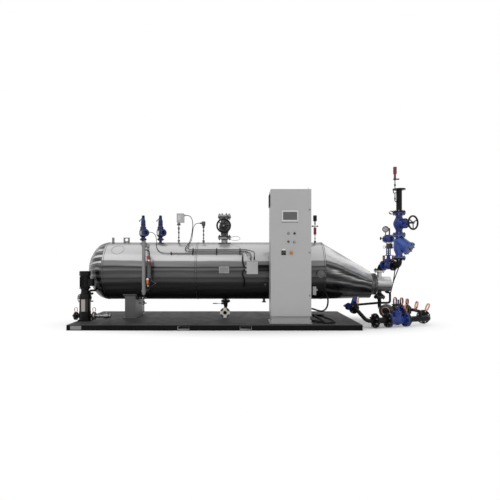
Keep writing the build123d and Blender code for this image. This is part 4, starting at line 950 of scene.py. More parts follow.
@dataclass(frozen=True)
class GlobeValve:
    """A globe valve's bonnet bolts, gland and stem thread, and its wheel's nut."""

    name: str
    start: Vector
    flow: Vector
    stem: Vector
    length: float
    reach: float
    bulge: float
    bonnet: float
    wheel_body: str
    stem_radius: float = 0.008
    flange_share: float = 0.42
    gland_share: float = 0.56
    thread_pitch: float = 0.005

    def dress(self, trim: Dress) -> None:
        """Adds the valve's fittings to a sub-assembly, and its wheel's nut as a piece of its own."""
        fin, stem, radius, bonnet = trim.fin, self.stem, self.stem_radius, self.bonnet
        middle = self.start + self.flow * (self.length / 2)
        thick = bonnet * self.flange_share
        top = self.bulge * 1.12 + thick
        trim.bolt(middle + stem * (top - thick / 2), stem, bonnet * 0.83, 8, thick, bonnet * 0.2)
        gland = top + bonnet * self.gland_share
        trim.bolt(middle + stem * gland, stem, bonnet * 0.28, 2, 0.012, 0.009)
        trim.ring((radius + 0.0005, bonnet * 0.4), (-0.006, 0.006), middle + stem * gland, stem, fin.dark_steel, 24)
        low, high = gland + 0.008, self.reach - bonnet * 0.64
        steps = max(2, int((high - low) / self.thread_pitch))
        thread = []
        for step in range(steps):
            place = low + (high - low) * step / steps
            thread += [(radius + 0.0002, place), (radius + 0.0014, place + 0.0025)]
        trim.turn(thread, middle, stem, fin.steel, 16)
        bridge = middle + stem * (self.reach - thick)
        trim.ring((radius + 0.0005, radius * 2.1), (0.0005, 0.01), bridge, stem, fin.steel, 6)
        nut = Batch()
        seat = middle + stem * (self.reach + 0.0125)
        across = radius * 1.9
        nut.ring((radius + 0.0004, across * 1.2), (0, 0.002), seat, stem, fin.fastener, 24)
        nut.turn([(across * 0.9, 0.002), (across, 0.003), (across, 0.0105), (across * 0.85, 0.012)], seat, stem,
                 fin.fastener, 6, smooth=False)
        nut.finish(f"{self.name}_wheel_nut", self.wheel_body, Slot.STEEL)


class Studio:
    """The pale floor, the plain soft light and the camera at the photograph's place."""

    CAMERA = Vector((0.398, -7.150, 1.021))
    LENS = 31.34
    SHIFT = (0.016, 0.020)
    GLOW = 0.86
    LAMPS = (("key", (-3.5, -6.0, 6.5), 95, 7.0), ("fill", (5.0, -6.5, 4.0), 35, 5.0))
    AIM = Vector((0.4, 0, 0.8))
    FLOOR_HALF, FLOOR_DROP = 40, 0.002
    FADE_SHIFT, FADE_SCALE = (-0.18, 0.12, 0), (0.36, 0.9, 1)
    FADE_START, FADE_WIDTH = 0.78, 0.42

    def build(self) -> None:
        """Makes the camera, the world, the lamps and the floor."""
        self.camera()
        self.world()
        self.lamps()
        self.floor()

    def camera(self) -> None:
        """Places the camera level, looking along +Y."""
        data = bpy.data.cameras.new("view")
        data.lens = self.LENS
        data.shift_x, data.shift_y = self.SHIFT
        camera = placed("view", data)
        camera.location = self.CAMERA
        camera.rotation_euler = (math.pi / 2, 0, 0)
        bpy.context.scene.camera = camera

    def world(self) -> None:
        """Makes a pale world that metal and glass mirror as white."""
        world = bpy.data.worlds.new("pale_world")
        bpy.context.scene.world = world
        world.use_nodes = True
        nodes = Nodes(world.node_tree)
        soft, white = (nodes.add("ShaderNodeBackground", {"Color": WHITE, "Strength": strength}).outputs[0]
                       for strength in (self.GLOW, 1.0))
        seen = nodes.any_ray("Is Camera Ray", "Is Glossy Ray", "Is Transmission Ray")
        mix = nodes.add("ShaderNodeMixShader", {0: seen, 1: soft, 2: white})
        nodes.add("ShaderNodeOutputWorld", {"Surface": mix.outputs[0]})

    def lamps(self) -> None:
        """Hangs two large soft lamps, the stronger at the upper left."""
        for name, place, energy, size in self.LAMPS:
            data = bpy.data.lights.new(name, "AREA")
            data.energy = energy
            data.size = size
            lamp = placed(name, data)
            lamp.location = place
            lamp.rotation_euler = (self.AIM - Vector(place)).to_track_quat("-Z", "Y").to_euler()

    def floor(self) -> None:
        """Lays a pale floor that fades into the white behind, outside an ellipse round the plant."""
        half = self.FLOOR_HALF
        mesh = bpy.data.meshes.new("floor")
        corners = [(-half, -half, 0), (half, -half, 0), (half, half, 0), (-half, half, 0)]
        mesh.from_pydata(corners, [], [(0, 1, 2, 3)])
        floor = placed("floor", mesh)
        floor.location.z = -self.FLOOR_DROP
        graph = Graph("pale_floor")
        graph.shade({"Base Color": (0.97, 0.97, 0.97, 1), "Roughness": 0.9})
        mesh.materials.append(graph.material)
        glow = graph.add("ShaderNodeEmission", {"Color": WHITE})
        around = graph.add("ShaderNodeMapping", {"Location": self.FADE_SHIFT, "Scale": self.FADE_SCALE,
                                                 "Vector": graph.coords})
        distance = graph.add("ShaderNodeVectorMath", {0: around.outputs["Vector"]}, operation="LENGTH")
        beyond = graph.math("SUBTRACT", distance.outputs["Value"], self.FADE_START)
        fade = graph.math("DIVIDE", beyond, self.FADE_WIDTH, clamp=True)
        share = graph.math("MULTIPLY", fade, graph.any_ray("Is Camera Ray", "Is Glossy Ray"))
        mix = graph.add("ShaderNodeMixShader", {0: share, 1: graph.shader.outputs[0], 2: glow.outputs[0]})
        graph.feed(graph.output.inputs["Surface"], mix.outputs[0])


@dataclass(frozen=True)
class Cable:
    """One free cable: the points of its route, the first at its exit, and its diameter, length and lay."""

    node: str
    diameter: float
    length: float
    points: Route
    lay: str = "hanging"


class Cables:
    """The free cables between sensors, conduits, cabinet and boxes."""

    ROUTES = (
        Cable("probe_cable", 0.012, 0.897, (
            (-0.552, 0.180, 1.772), (-0.514, 0.180, 1.772), (-0.472, 0.172, 1.756), (-0.441, 0.155, 1.710),
            (-0.425, 0.130, 1.645), (-0.422, 0.100, 1.570), (-0.430, 0.062, 1.480), (-0.441, 0.025, 1.390),
            (-0.457, -0.022, 1.316), (-0.476, -0.066, 1.281), (-0.497, -0.108, 1.247), (-0.512, -0.144, 1.214),
            (-0.512, -0.172, 1.187), (-0.494, -0.189, 1.168), (-0.462, -0.1941, 1.1615), (-0.410, -0.1941, 1.1615),
        )),
        Cable("temperature_cable", 0.010, 0.726, (
            (-0.311, 0.180, 1.640), (-0.345, 0.180, 1.640), (-0.380, 0.172, 1.630), (-0.406, 0.152, 1.596),
            (-0.420, 0.122, 1.536), (-0.425, 0.086, 1.455), (-0.429, 0.046, 1.376), (-0.439, 0.000, 1.326),
            (-0.453, -0.048, 1.292), (-0.467, -0.090, 1.260), (-0.477, -0.124, 1.233), (-0.475, -0.146, 1.213),
            (-0.456, -0.162, 1.196), (-0.426, -0.1691, 1.1887), (-0.380, -0.1691, 1.1887),
        )),
        Cable("safety_cable", 0.010, 0.818, (
            (-1.170, 0.195, 1.490), (-1.132, 0.195, 1.490), (-1.092, 0.184, 1.472), (-1.058, 0.160, 1.440),
            (-1.036, 0.122, 1.396), (-1.022, 0.074, 1.350), (-1.010, 0.020, 1.314), (-1.000, -0.040, 1.285),
            (-0.988, -0.098, 1.248), (-0.970, -0.146, 1.207), (-0.940, -0.182, 1.168), (-0.895, -0.208, 1.141),
            (-0.840, -0.2201, 1.1284), (-0.730, -0.2201, 1.1284),
        )),
        Cable("cabinet_cable", 0.026, 0.688, (
            (1.447, -0.345, 0.262), (1.500, -0.345, 0.262), (1.566, -0.344, 0.236), (1.640, -0.339, 0.216),
            (1.704, -0.330, 0.240), (1.742, -0.320, 0.306), (1.752, -0.308, 0.392), (1.736, -0.294, 0.470),
            (1.696, -0.278, 0.528), (1.644, -0.266, 0.548), (1.590, -0.266, 0.548),
        )),
        Cable("deck_cable", 0.024, 1.165, (
            (1.431, -0.660, 0.107), (1.494, -0.660, 0.107), (1.570, -0.705, 0.095), (1.645, -0.742, 0.094),
            (1.709, -0.738, 0.094), (1.762, -0.702, 0.094), (1.794, -0.644, 0.094), (1.800, -0.576, 0.094),
            (1.797, -0.460, 0.094), (1.786, -0.330, 0.094), (1.770, -0.190, 0.094), (1.750, -0.070, 0.094),
            (1.734, 0.020, 0.096), (1.734, 0.093, 0.096),
        ), lay="loose"),
        Cable("drain_cable", 0.024, 0.842, (
            (1.431, -0.560, 0.107), (1.486, -0.560, 0.107), (1.552, -0.572, 0.094), (1.606, -0.560, 0.094),
            (1.641, -0.515, 0.094), (1.652, -0.450, 0.094), (1.649, -0.330, 0.094), (1.638, -0.200, 0.094),
            (1.622, -0.080, 0.094), (1.612, 0.010, 0.096), (1.612, 0.093, 0.096),
        ), lay="loose"),
    )

    def build(self, finishes: Finishes) -> None:
        for cable in self.ROUTES:
            piece = smooth_curve(f"{cable.node}_sheath", cable.points, cable.diameter / 2, 4)
            piece.data.splines[0].resolution_u = 8
            piece.data.materials.append(finishes.rubber)
            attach(piece, PLANT)
            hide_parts(cable.node)
            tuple(cable.points[0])
            log.info("%s hangs from %s", piece.name, PLANT)


class CadFinishes:
    """Gives each solid of the frame its finish."""

    def build(self, finishes: Finishes) -> None:
        """Puts the materials on the frame's nodes."""
        plan = {
            # The shell, cone, head, channel and pump sleeve finishes hold painted reflections and shade.
            finishes.mirror: ("shell",),
            finishes.cone: ("shell_cone",),
            finishes.gores: ("shell_head",),
            finishes.deck: ("skid_deck",),
            finishes.rail: ("skid_frame", "cable_duct"),
            finishes.saddle: ("saddles",),
            finishes.grey_paint: ("level_column", "lifting_lugs"),
            finishes.channel: ("channel_head", "channel_cover"),
            finishes.cabinet: ("cabinet_body", "cabinet_door", "cabinet_plinth"),
            finishes.blue: ("control_actuator", "control_valve", "inlet_stop_valve", "condensate_valves"),
            # The strainer takes the lighter blue of a painted highlight.
            finishes.painted_highlight_blue: ("strainer",),
            finishes.navy: ("safety_valves",),
            finishes.black: ("steam_outlet_handwheel", "blowdown_valve", "pump_castings", "pump_motor", "feed_line",
                             "feed_handwheel", "inlet_elbows", "inlet_handwheel", "inlet_spool", "condensate_pipes",
                             "condensate_handwheel", "elbow_stay"),
            finishes.steel: ("mounting_plate", "steam_outlet_flanges", "nameplate_bracket", "pump_suction"),
            finishes.cast: ("steam_outlet_valve", "trap_station"),
            finishes.sleeve: ("pump_sleeve",),
            finishes.dull_steel: ("blowdown_lever", "girth_flanges", "probe_rods", "vessel_fittings"),
            finishes.dark_steel: ("steam_instruments", "level_gauge"),
            finishes.copper: ("bonding_straps",),
            finishes.conduit: ("conduits",),
            finishes.plastic: ("cabinet_vent", "door_controls", "conduit_clamps"),
            finishes.box: ("junction_boxes",),
            finishes.wine: ("pressure_sensors",),
        }
        for material, names in plan.items():
            for name in names:
                mesh = NODES[name].data
                mesh.materials.clear()
                mesh.materials.append(material)
                log.info("%s takes %s", name, material.name)


@dataclass
class VesselCladding(Dress):
    """The seams, gores and screws of the vessel's sheet-metal jacket."""

    PIECE, SLOT = "jacket_seams", Slot.MIRROR
    seams: tuple[float, ...] = (-1.812, -0.334, 1.714)
    seam_width: float = 0.026
    sheet: float = 0.0012
    gores: int = 26
    cap_share: float = 0.2
    long_seams: tuple[int, ...] = (98, 262)
    cone_seams: tuple[int, ...] = (20, 75, 140, 200, 262, 318)
    rivet_gap: float = 0.15
    patch_centre: Pair = (-1.60, 47.0)
    patch_radius: float = 0.1

    def shapes(self) -> None:
        """Adds the bands, the head's and the cone's seam strips and the patch."""
        self.bands()
        self.head()
        self.cone()
        self.patch()

    def bands(self) -> None:
        """Lays a riveted band over each round seam and along the shell."""
        fin, half = self.fin, self.seam_width / 2
        inner, outer = VESSEL_RADIUS - 0.001, VESSEL_RADIUS + self.sheet
        for x in self.seams:
            centre = Vector((x, VESSEL_Y, VESSEL_Z))
            self.ring((inner, outer), (-half, half), centre, RIGHT, fin.mirror, 128)
            for edge in (-half, half):
                span = (edge - 0.0028, edge + 0.0028)
                self.ring((inner, outer + 0.0004), span, centre, RIGHT, fin.dark_steel, 128)
            self.rivet([shell_point(x, angle, self.sheet) for angle in range(0, 360, 9)])
        for angle in self.long_seams:
            for low, high in zip(self.seams, self.seams[1:]):
                line = [shell_point(low + (high - low) * step / 12, angle, -0.0005) for step in range(13)]
                self.ribbon(line, 0.03, self.sheet, fin.mirror)
                count = int((high - low) / self.rivet_gap)
                self.rivet([shell_point(low + (high - low) * (step + 0.5) / count, angle, self.sheet)
                            for step in range(count)])

    def head(self) -> None:
        """Folds the head's gores together and caps them in the middle."""
        start = self.cap_share
        for number in range(self.gores):
            angle = (number + 0.5) * 360 / self.gores
            line = [dome_point(start + (0.995 - start) * step / 14, angle, -0.0005) for step in range(15)]
            self.ribbon(line, 0.008, 0.003, self.fin.dull_steel)
            self.rivet([dome_point(share, angle + 1.2 / share) for share in (0.5, 0.7, 0.85, 0.95)], 0.0035)
        profile = [dome_point(start * 1.12 * step / 6, 0, 0.003)[0] for step in range(7)]
        outline = [((point - Vector((point.x, VESSEL_Y, VESSEL_Z))).length, VESSEL_LEFT - point.x)
                   for point in profile]
        outline = [(0.0, outline[0][1])] + outline[1:] + [(outline[-1][0], outline[-1][1] - 0.006)]
        self.turn(outline, Vector((VESSEL_LEFT, VESSEL_Y, VESSEL_Z)), -RIGHT, self.fin.gores, 48)

    def cone(self) -> None:
        """Folds the cone's seams and bands its small end."""
        for angle in self.cone_seams:
            radial = radial_way(angle)
            out = Vector((0.28, radial.y, radial.z)).normalized()
            near = Vector((VESSEL_RIGHT, VESSEL_Y, VESSEL_Z)) + radial * (VESSEL_RADIUS - 0.0005)
            far = Vector((CONE_END_X - 0.01, VESSEL_Y, CONE_END_Z)) + radial * (CONE_END_RADIUS + 0.003)
            self.ribbon([(near.lerp(far, step / 10), out) for step in range(11)], 0.012, 0.0028, self.fin.cone)
        self.ring((CONE_END_RADIUS - 0.001, CONE_END_RADIUS + 0.0025), (-0.03, 0.0),
                  Vector((CONE_END_X, VESSEL_Y, CONE_END_Z)), RIGHT, self.fin.mirror, 96)

    def patch(self) -> None:
        """Rings the round inspection patch in the shell's upper half."""
        x, angle = self.patch_centre
        radius = self.patch_radius
        loop = []
        for step in range(36):
            turn = 2 * math.pi * step / 36
            rise = math.degrees(radius * math.sin(turn) / VESSEL_RADIUS)
            loop.append(shell_point(x + radius * math.cos(turn), angle + rise, 0.0006)[0])
        self.wire(loop, 0.0022, self.fin.dull_steel, closed=True, sides=2)


@dataclass
class SteamOutlet(Dress):
    """The outlet valve's joints and its small bypass loop."""

    PIECE = "steam_outlet_bolts"
    low: Vector = at(0.103, VESSEL_Y, 1.399)
    top: Vector = at(0.103, VESSEL_Y, 1.749)

    def shapes(self) -> None:
        """Adds the joints, the valve's fittings and the loop."""
        self.joint(self.low, UP, DN100)
        self.bolt(self.top, UP, DN100.circle, 8, 0.054, 0.03, self.fin.steel)
        GlobeValve("steam_outlet", self.low, UP, FRONT, 0.35, 0.33, 0.092, 0.078, "outlet_wheel").dress(self)
        loop = ((0.185, 0.12, 1.395), (0.235, 0.08, 1.405), (0.300, 0.02, 1.412), (0.355, -0.02, 1.40),
                (0.372, -0.03, 1.372), (0.340, -0.02, 1.345), (0.280, 0.02, 1.338), (0.225, 0.07, 1.352),
                (0.185, 0.12, 1.372))
        self.wire(loop, 0.0035, self.fin.steel, sides=2)


@dataclass
class SafetyValves(Dress):
    """The two spring safety valves: caps, plates, levers and bolts."""

    PIECE, SLOT = "safety_valve_fittings", Slot.BLUE
    places: Pair = (-1.264, -0.974)
    seat: float = 1.358
    outlet_angle: float = 35.0

    def shapes(self) -> None:
        """Adds both valves' fittings."""
        fin, turn = self.fin, math.radians(self.outlet_angle)
        outlet = Vector((math.sin(turn), -math.cos(turn), 0))
        for x, plate in zip(self.places, (fin.sand, fin.cream)):
            base = Vector((x, VESSEL_Y, self.seat))
            body = base + UP * 0.118
            self.turn([(0.0235, 0.366), (0.0245, 0.37), (0.0245, 0.404), (0.017, 0.413), (0, 0.4135)], base, UP,
                      fin.plastic, 24)
            self.ring((0.036, 0.041), (0.258, 0.266), base, UP, fin.plastic, 32)
            self.bolt(base + UP * 0.009, UP, 0.045, 4, 0.018, 0.016)
            self.bolt(base + UP * 0.205, UP, 0.0455, 6, 0.018, 0.011)
            self.bolt(body + outlet * 0.092, outlet, 0.052, 4, 0.02, 0.016)
            self.take(sector_mesh(0.0668, 0.0695, -0.036, 0.034, 22, 56), aimed(body, UP), plate, smooth=False)
            for height in (-0.026, 0.026):
                self.ball(body + Vector((-0.047, -0.0515, height)), 0.004, fin.dark_grey)
            self.ball(base + Vector((-0.062, 0, 0.32)), 0.011, fin.plastic)
            for step in range(7):
                self.ring((0.0355, 0.0395), (0.235 + step * 0.013, 0.239 + step * 0.013), base, UP, fin.navy, 28)


@dataclass
class Sensors(Dress):
    """The probe rods' collars and the boxes' screws and plates; a nut is given by height, radius and length."""

    PIECE = "sensor_fittings"
    rod: Vector = at(-0.666, VESSEL_Y, SENSOR_Z)
    thermo: Vector = at(-0.249, VESSEL_Y, SENSOR_Z)
    rod_nuts: tuple[Triple, ...] = ((0.07, 0.0145, 0.022), (0.15, 0.0145, 0.03), (0.215, 0.0165, 0.04))
    thermo_nuts: tuple[Triple, ...] = ((0.06, 0.0125, 0.02), (0.11, 0.0125, 0.034), (0.18, 0.0135, 0.03))
    screws: tuple[Pair, ...] = ((-0.686, 1.664), (-0.686, 1.787), (-0.586, 1.664), (-0.586, 1.787))

    def shapes(self) -> None:
        """Adds the nuts, collars, screws and plates."""
        fin = self.fin
        for foot, nuts in ((self.rod, self.rod_nuts), (self.thermo, self.thermo_nuts)):
            for height, radius, length in nuts:
                self.turn(collar(radius, height, length, 0.002), foot, UP, fin.plastic, 6, smooth=False)
            for height in (0.03, 0.105, 0.19):
                self.turn(collar(0.0125, height, 0.011, 0.002, 0.001), foot, UP, fin.steel, 24)
        for x, z in self.screws:
            self.turn([(0.0055, 0), (0.0055, 0.002), (0.003, 0.0032)], Vector((x, 0.135, z)), FRONT, fin.steel, 16)
        self.box((-0.676, 0.1335, 1.69), (-0.630, 0.1352, 1.77), fin.label_and_pocket_light, 0.0005)
        self.turn([(0.031, 0.325), (0.0325, 0.328), (0.0325, 0.344), (0.024, 0.352), (0, 0.354)], self.thermo, UP,
                  fin.dull_steel, 32)
        self.ring((0.0302, 0.0315), (0.288, 0.294), self.thermo, UP, fin.plastic, 32)


@dataclass
class Transmitters(Dress):
    """The caps and collars of the two pressure transmitters."""

    PIECE, SLOT = "transmitter_caps", Slot.RED
    foot: Vector = at(1.627, VESSEL_Y, SENSOR_Z)
    cross: float = 0.272

    def shapes(self) -> None:
        """Caps the transmitters in their own colours."""
        fin, foot, middle = self.fin, self.foot, self.foot + UP * self.cross
        self.turn([(0.0305, 0.356), (0.0315, 0.36), (0.0315, 0.44), (0.025, 0.4545), (0, 0.4555)], foot, UP,
                  fin.plastic, 32)
        self.turn([(0.0112, 0.297), (0.0112, 0.357)], foot, UP, fin.dull_steel, 24)
        self.turn([(0.0102, 0.247), (0.0102, 0.298)], foot, UP, fin.cream, 24)
        self.turn([(0.0121, -0.041), (0.0121, 0.041)], middle, RIGHT, fin.bezel, 24)
        for side in (-0.043, 0.043):
            self.ball(foot + Vector((side, 0, self.cross)), 0.014, fin.dark_grey)
        self.turn([(0.0075, 0.02), (0.0075, 0.131)], foot, UP, fin.steel, 20)
        self.turn(collar(0.019, -0.001, 0.0255, 0.001, 0.0005), foot, UP, fin.dull_steel, 6, smooth=False)
        self.turn([(0.0105, 0.06), (0.0105, 0.078)], foot, UP, fin.plastic, 20)
        for height in (0.15, 0.228):
            self.ring((0.024, 0.0255), (height, height + 0.008), foot, UP, fin.wine, 32)


@dataclass
class LevelGear(Dress):
    """The level gauge's cocks, glass and bracket, and the drain valves' knobs."""

    PIECE = "level_gauge_fittings"
    column_x: float = -1.125
    gauge_x: float = -1.04
    y: float = -0.4
    nuts: tuple[float, ...] = (0.75, 0.795, 0.84, 0.885, 0.93, 0.975)
    knobs: Pair = (0.44, 0.359)
    flanges: Pair = (1.24, 0.54)

    def shapes(self) -> None:
        """Adds the gauge's and the column's fittings."""
        self.gauge(self.y - 0.024)
        self.cocks(self.y - 0.024)
        self.column()

    def gauge(self, face: float) -> None:
        """Adds the gauge's frame, glass and nuts."""
        x, fin = self.gauge_x, self.fin
        self.box((x - 0.029, face - 0.004, 0.735), (x + 0.029, face + 0.001, 0.99), fin.dark_grey, 0.002)
        self.box((x - 0.010, face - 0.0055, 0.752), (x + 0.010, face - 0.0035, 0.973), fin.glass, 0.0008)
        for z in self.nuts:
            for side in (-0.021, 0.021):
                nut = [(0.0065, 0), (0.0065, 0.006), (0.005, 0.0075)]
                self.turn(nut, Vector((x + side, face - 0.004, z)), FRONT, fin.fastener, 6, smooth=False)

    def cocks(self, face: float) -> None:
        """Adds the coloured cocks above and below, and the wire bracket."""
        x, fin = self.gauge_x, self.fin
        upper, lower = Vector((x, face - 0.045, 1.021)), Vector((x - 0.012, face - 0.045, 0.69))
        for start, end, radius, material in (
                ((-0.020, 0, 0.062), (0.004, 0, 0.008), 0.018, fin.red),
                ((0.004, 0, 0.006), (0.012, 0, -0.018), 0.014, fin.cream),
                ((0.012, 0, -0.02), (0.028, 0, -0.074), 0.017, fin.wine)):
            self.rod(upper + Vector(start), upper + Vector(end), radius, material)
        self.ball(lower + UP * 0.036, 0.019, fin.cream)
        self.rod(lower + UP * 0.02, lower - UP * 0.04, 0.017, fin.orange)
        self.rod(lower - UP * 0.05, lower + Vector((0.012, 0, -0.078)), 0.012, fin.sand)
        for centre in (upper, lower):
            self.rod(Vector((centre.x, face, centre.z)), centre, 0.009, fin.steel)
        tip = Vector((-0.93, face - 0.04, 0.661))
        self.rod(Vector((x + 0.012, face - 0.01, 0.722)), tip, 0.0032, fin.dull_steel)
        self.rod(tip, Vector((x + 0.008, face - 0.01, 0.598)), 0.0032, fin.dull_steel)
        self.ball(tip, 0.006, fin.steel)

    def column(self) -> None:
        """Adds the column's valve knobs, flanges and bolts."""
        x, y, fin = self.column_x, self.y, self.fin
        for z in self.knobs:
            for side in (-0.046, 0.046):
                self.ball(Vector((x + side, y - 0.057, z)), 0.012, fin.dark_grey)
            self.ball(Vector((x, y - 0.064, z)), 0.009, fin.bezel)
        for z in self.flanges:
            self.ring((0.0285, 0.036), (-0.01, 0.01), Vector((x, y, z)), UP, fin.grey_paint, 32)
        for z in self.flanges:
            self.ring((0.0205, 0.034), (0.03, 0.05), Vector((x, y, z)), -FRONT, fin.dull_steel, 32)
            self.bolt(Vector((x, y + 0.04, z)), -FRONT, 0.028, 4, 0.02, 0.009)


@dataclass
class Nameplate(Dress):
    """The plate on the jacket, left bare, with a raised border and rivets."""

    PIECE = "nameplate_border"
    low: Pair = (0.036, 0.813)
    high: Pair = (0.196, 0.921)
    border: float = 0.005

    def shapes(self) -> None:
        """Adds the plate's border and rivets on its front face."""
        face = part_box("nameplate_bracket")[0][1]
        (left, foot), (right, head), wide = self.low, self.high, self.border
        back = face + 0.0005
        for x_low, z_low, x_high, z_high in (
                (left, foot, right, foot + wide), (left, head - wide, right, head),
                (left, foot, left + wide, head), (right - wide, foot, right, head)):
            self.box((x_low, face - 0.001, z_low), (x_high, back, z_high), self.fin.steel, 0.0004)
        self.box((left + 0.012, face - 0.0004, foot + 0.012), (right - 0.012, back, head - 0.012), self.fin.plate,
                 0.0002)
        for x in (left + 0.008, right - 0.008):
            for z in (foot + 0.008, head - 0.008):
                self.ball(Vector((x, face - 0.0002, z)), 0.0028, self.fin.dull_steel)


@dataclass
class DoorPanel(Dress):
    """The cabinet door's screen, lamps and switches, which swing with the door."""

    PIECE, SLOT, BODY, REPLACES = "door_panel", Slot.PLASTIC, "door", "door_controls"
    face: float = -0.721
    bezel_x: Pair = (0.982, 1.234)
    bezel_z: Pair = (1.584, 1.760)

    def shapes(self) -> None:
        """Adds the controls, which stand for the CAD's plain ones."""
        fin = self.fin
        self.screen()
        for x, z, inner in ((1.083, 1.292, fin.dark_grey), (1.169, 1.286, fin.steel), (1.085, 1.414, fin.lamp),
                            (1.175, 1.414, fin.plastic)):
            self.button(x, z, inner)
        self.selector(1.175, 1.414)
        self.main_switch(1.013, 1.127)
        self.stop(1.126, 1.127)

    def plate(self, x: float, z: float, half: Pair, front: float, back: float, material: Material,
              bevel: float) -> None:
        """Adds a flat box round a point, from one distance before the door's face to another."""
        wide, high = half
        self.box((x - wide, self.face - front, z - high), (x + wide, self.face - back, z + high), material, bevel)

    def screen(self) -> None:
        """Adds the display with its stepped frame and keys, and a black strip under the frame that is a painted
        shadow.
        """
        (left, right), (low, high), face, fin = self.bezel_x, self.bezel_z, self.face, self.fin
        self.box((left, face - 0.007, low), (right, face + 0.002, high), fin.bezel, 0.003)
        middle, height = (left + right) / 2, (low + high) / 2
        for half, depth, material in (((0.103, 0.058), 0.0078, fin.dark_grey), ((0.097, 0.052), 0.0084, fin.glass)):
            self.plate(middle, height, half, depth, 0.005, material, 0.001)
        # A black strip under the frame's lower edge: a painted shadow.
        self.box((left + 0.004, face - 0.003, low - 0.006), (right - 0.004, face + 0.002, low), fin.plastic, 0.001)
        key = Vector((right - 0.012, face - 0.007, low + 0.013))
        self.turn([(0.0045, 0), (0.0045, 0.0015), (0.0035, 0.0022)], key, FRONT, fin.lamp, 16)

    def button(self, x: float, z: float, inner: Material) -> None:
        """Adds a round lamp or push button with its collar."""
        centre = Vector((x, self.face, z))
        self.turn([(0.0175, -0.001), (0.0175, 0.003), (0.0155, 0.0065), (0.0125, 0.0065)], centre, FRONT,
                  self.fin.dull_steel)
        self.turn([(0.0118, 0.002), (0.0118, 0.0095), (0.0095, 0.0115), (0, 0.012)], centre, FRONT, inner)

    def grip(self, x: float, z: float, out: float, angle: float) -> Matrix:
        """Gives the place of a turning grip that stands before the door, turned by an angle in degrees."""
        return Matrix.Translation((x, self.face - out, z)) @ Matrix.Rotation(math.radians(angle), 4, "Y")

    def selector(self, x: float, z: float) -> None:
        """Adds a turning grip across a selector's disc, with a pale pointer."""
        place = self.grip(x, z, 0.0175, 32)
        self.box((-0.0042, -0.0085, -0.0115), (0.0042, 0.0085, 0.0115), self.fin.plastic, 0.0018, place)
        self.box((-0.0008, -0.0091, 0.003), (0.0008, -0.008, 0.0105), self.fin.cream, 0.0002, place)

    def main_switch(self, x: float, z: float) -> None:
        """Adds the main switch: a square plate, a turning grip and its bare pale label plate above."""
        fin = self.fin
        self.plate(x, z, (0.0325, 0.0325), 0.0035, -0.002, fin.plastic, 0.0015)
        self.turn([(0.0255, 0), (0.0255, 0.006), (0.023, 0.0085), (0, 0.0088)], Vector((x, self.face - 0.003, z)),
                  FRONT, fin.dark_grey)
        place = self.grip(x, z, 0.019, -20)
        self.box((-0.0075, -0.012, -0.023), (0.0075, 0.01, 0.023), fin.plastic, 0.003, place)
        self.box((-0.0012, -0.0127, 0.008), (0.0012, -0.0115, 0.021), fin.cream, 0.0002, place)
        self.box((x - 0.026, self.face - 0.0018, z + 0.040), (x + 0.026, self.face + 0.002, z + 0.057), fin.cream,
                 0.0008)

    def stop(self, x: float, z: float) -> None:
        """Adds the mushroom push button on its yoke."""
        centre = Vector((x, self.face, z))
        self.turn([(0.0265, -0.001), (0.0265, 0.003), (0.025, 0.0045), (0.012, 0.0045)], centre, FRONT,
                  self.fin.tag)
        self.turn([(0.0115, 0.003), (0.0115, 0.014), (0.0185, 0.0165), (0.0198, 0.0205), (0.0185, 0.0255),
                   (0.012, 0.0285), (0, 0.0292)], centre, FRONT, self.fin.orange)


@dataclass
class DoorLocks(Dress):
    """The quarter-turn inserts in the door's locks."""

    PIECE, BODY = "door_locks", "door"
    x: float = 1.399
    heights: Triple = (0.494, 1.130, 1.765)

    def shapes(self) -> None:
        """Adds an insert in each lock."""
        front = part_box("cabinet_door")[0][1]
        for z in self.heights:
            centre = Vector((self.x, front, z))
            self.ring((0.0065, 0.0125), (-0.001, 0.0022), centre, FRONT, self.fin.steel, 32)
            self.turn([(0.0062, -0.001), (0.0062, 0.0012), (0, 0.0014)], centre, FRONT, self.fin.dark_steel, 20)
            self.box((-0.0009, -0.0022, -0.0048), (0.0009, -0.0008, 0.0048), self.fin.plastic, 0.0,
                     Matrix.Translation(centre) @ Matrix.Rotation(math.radians(20), 4, "Y"))


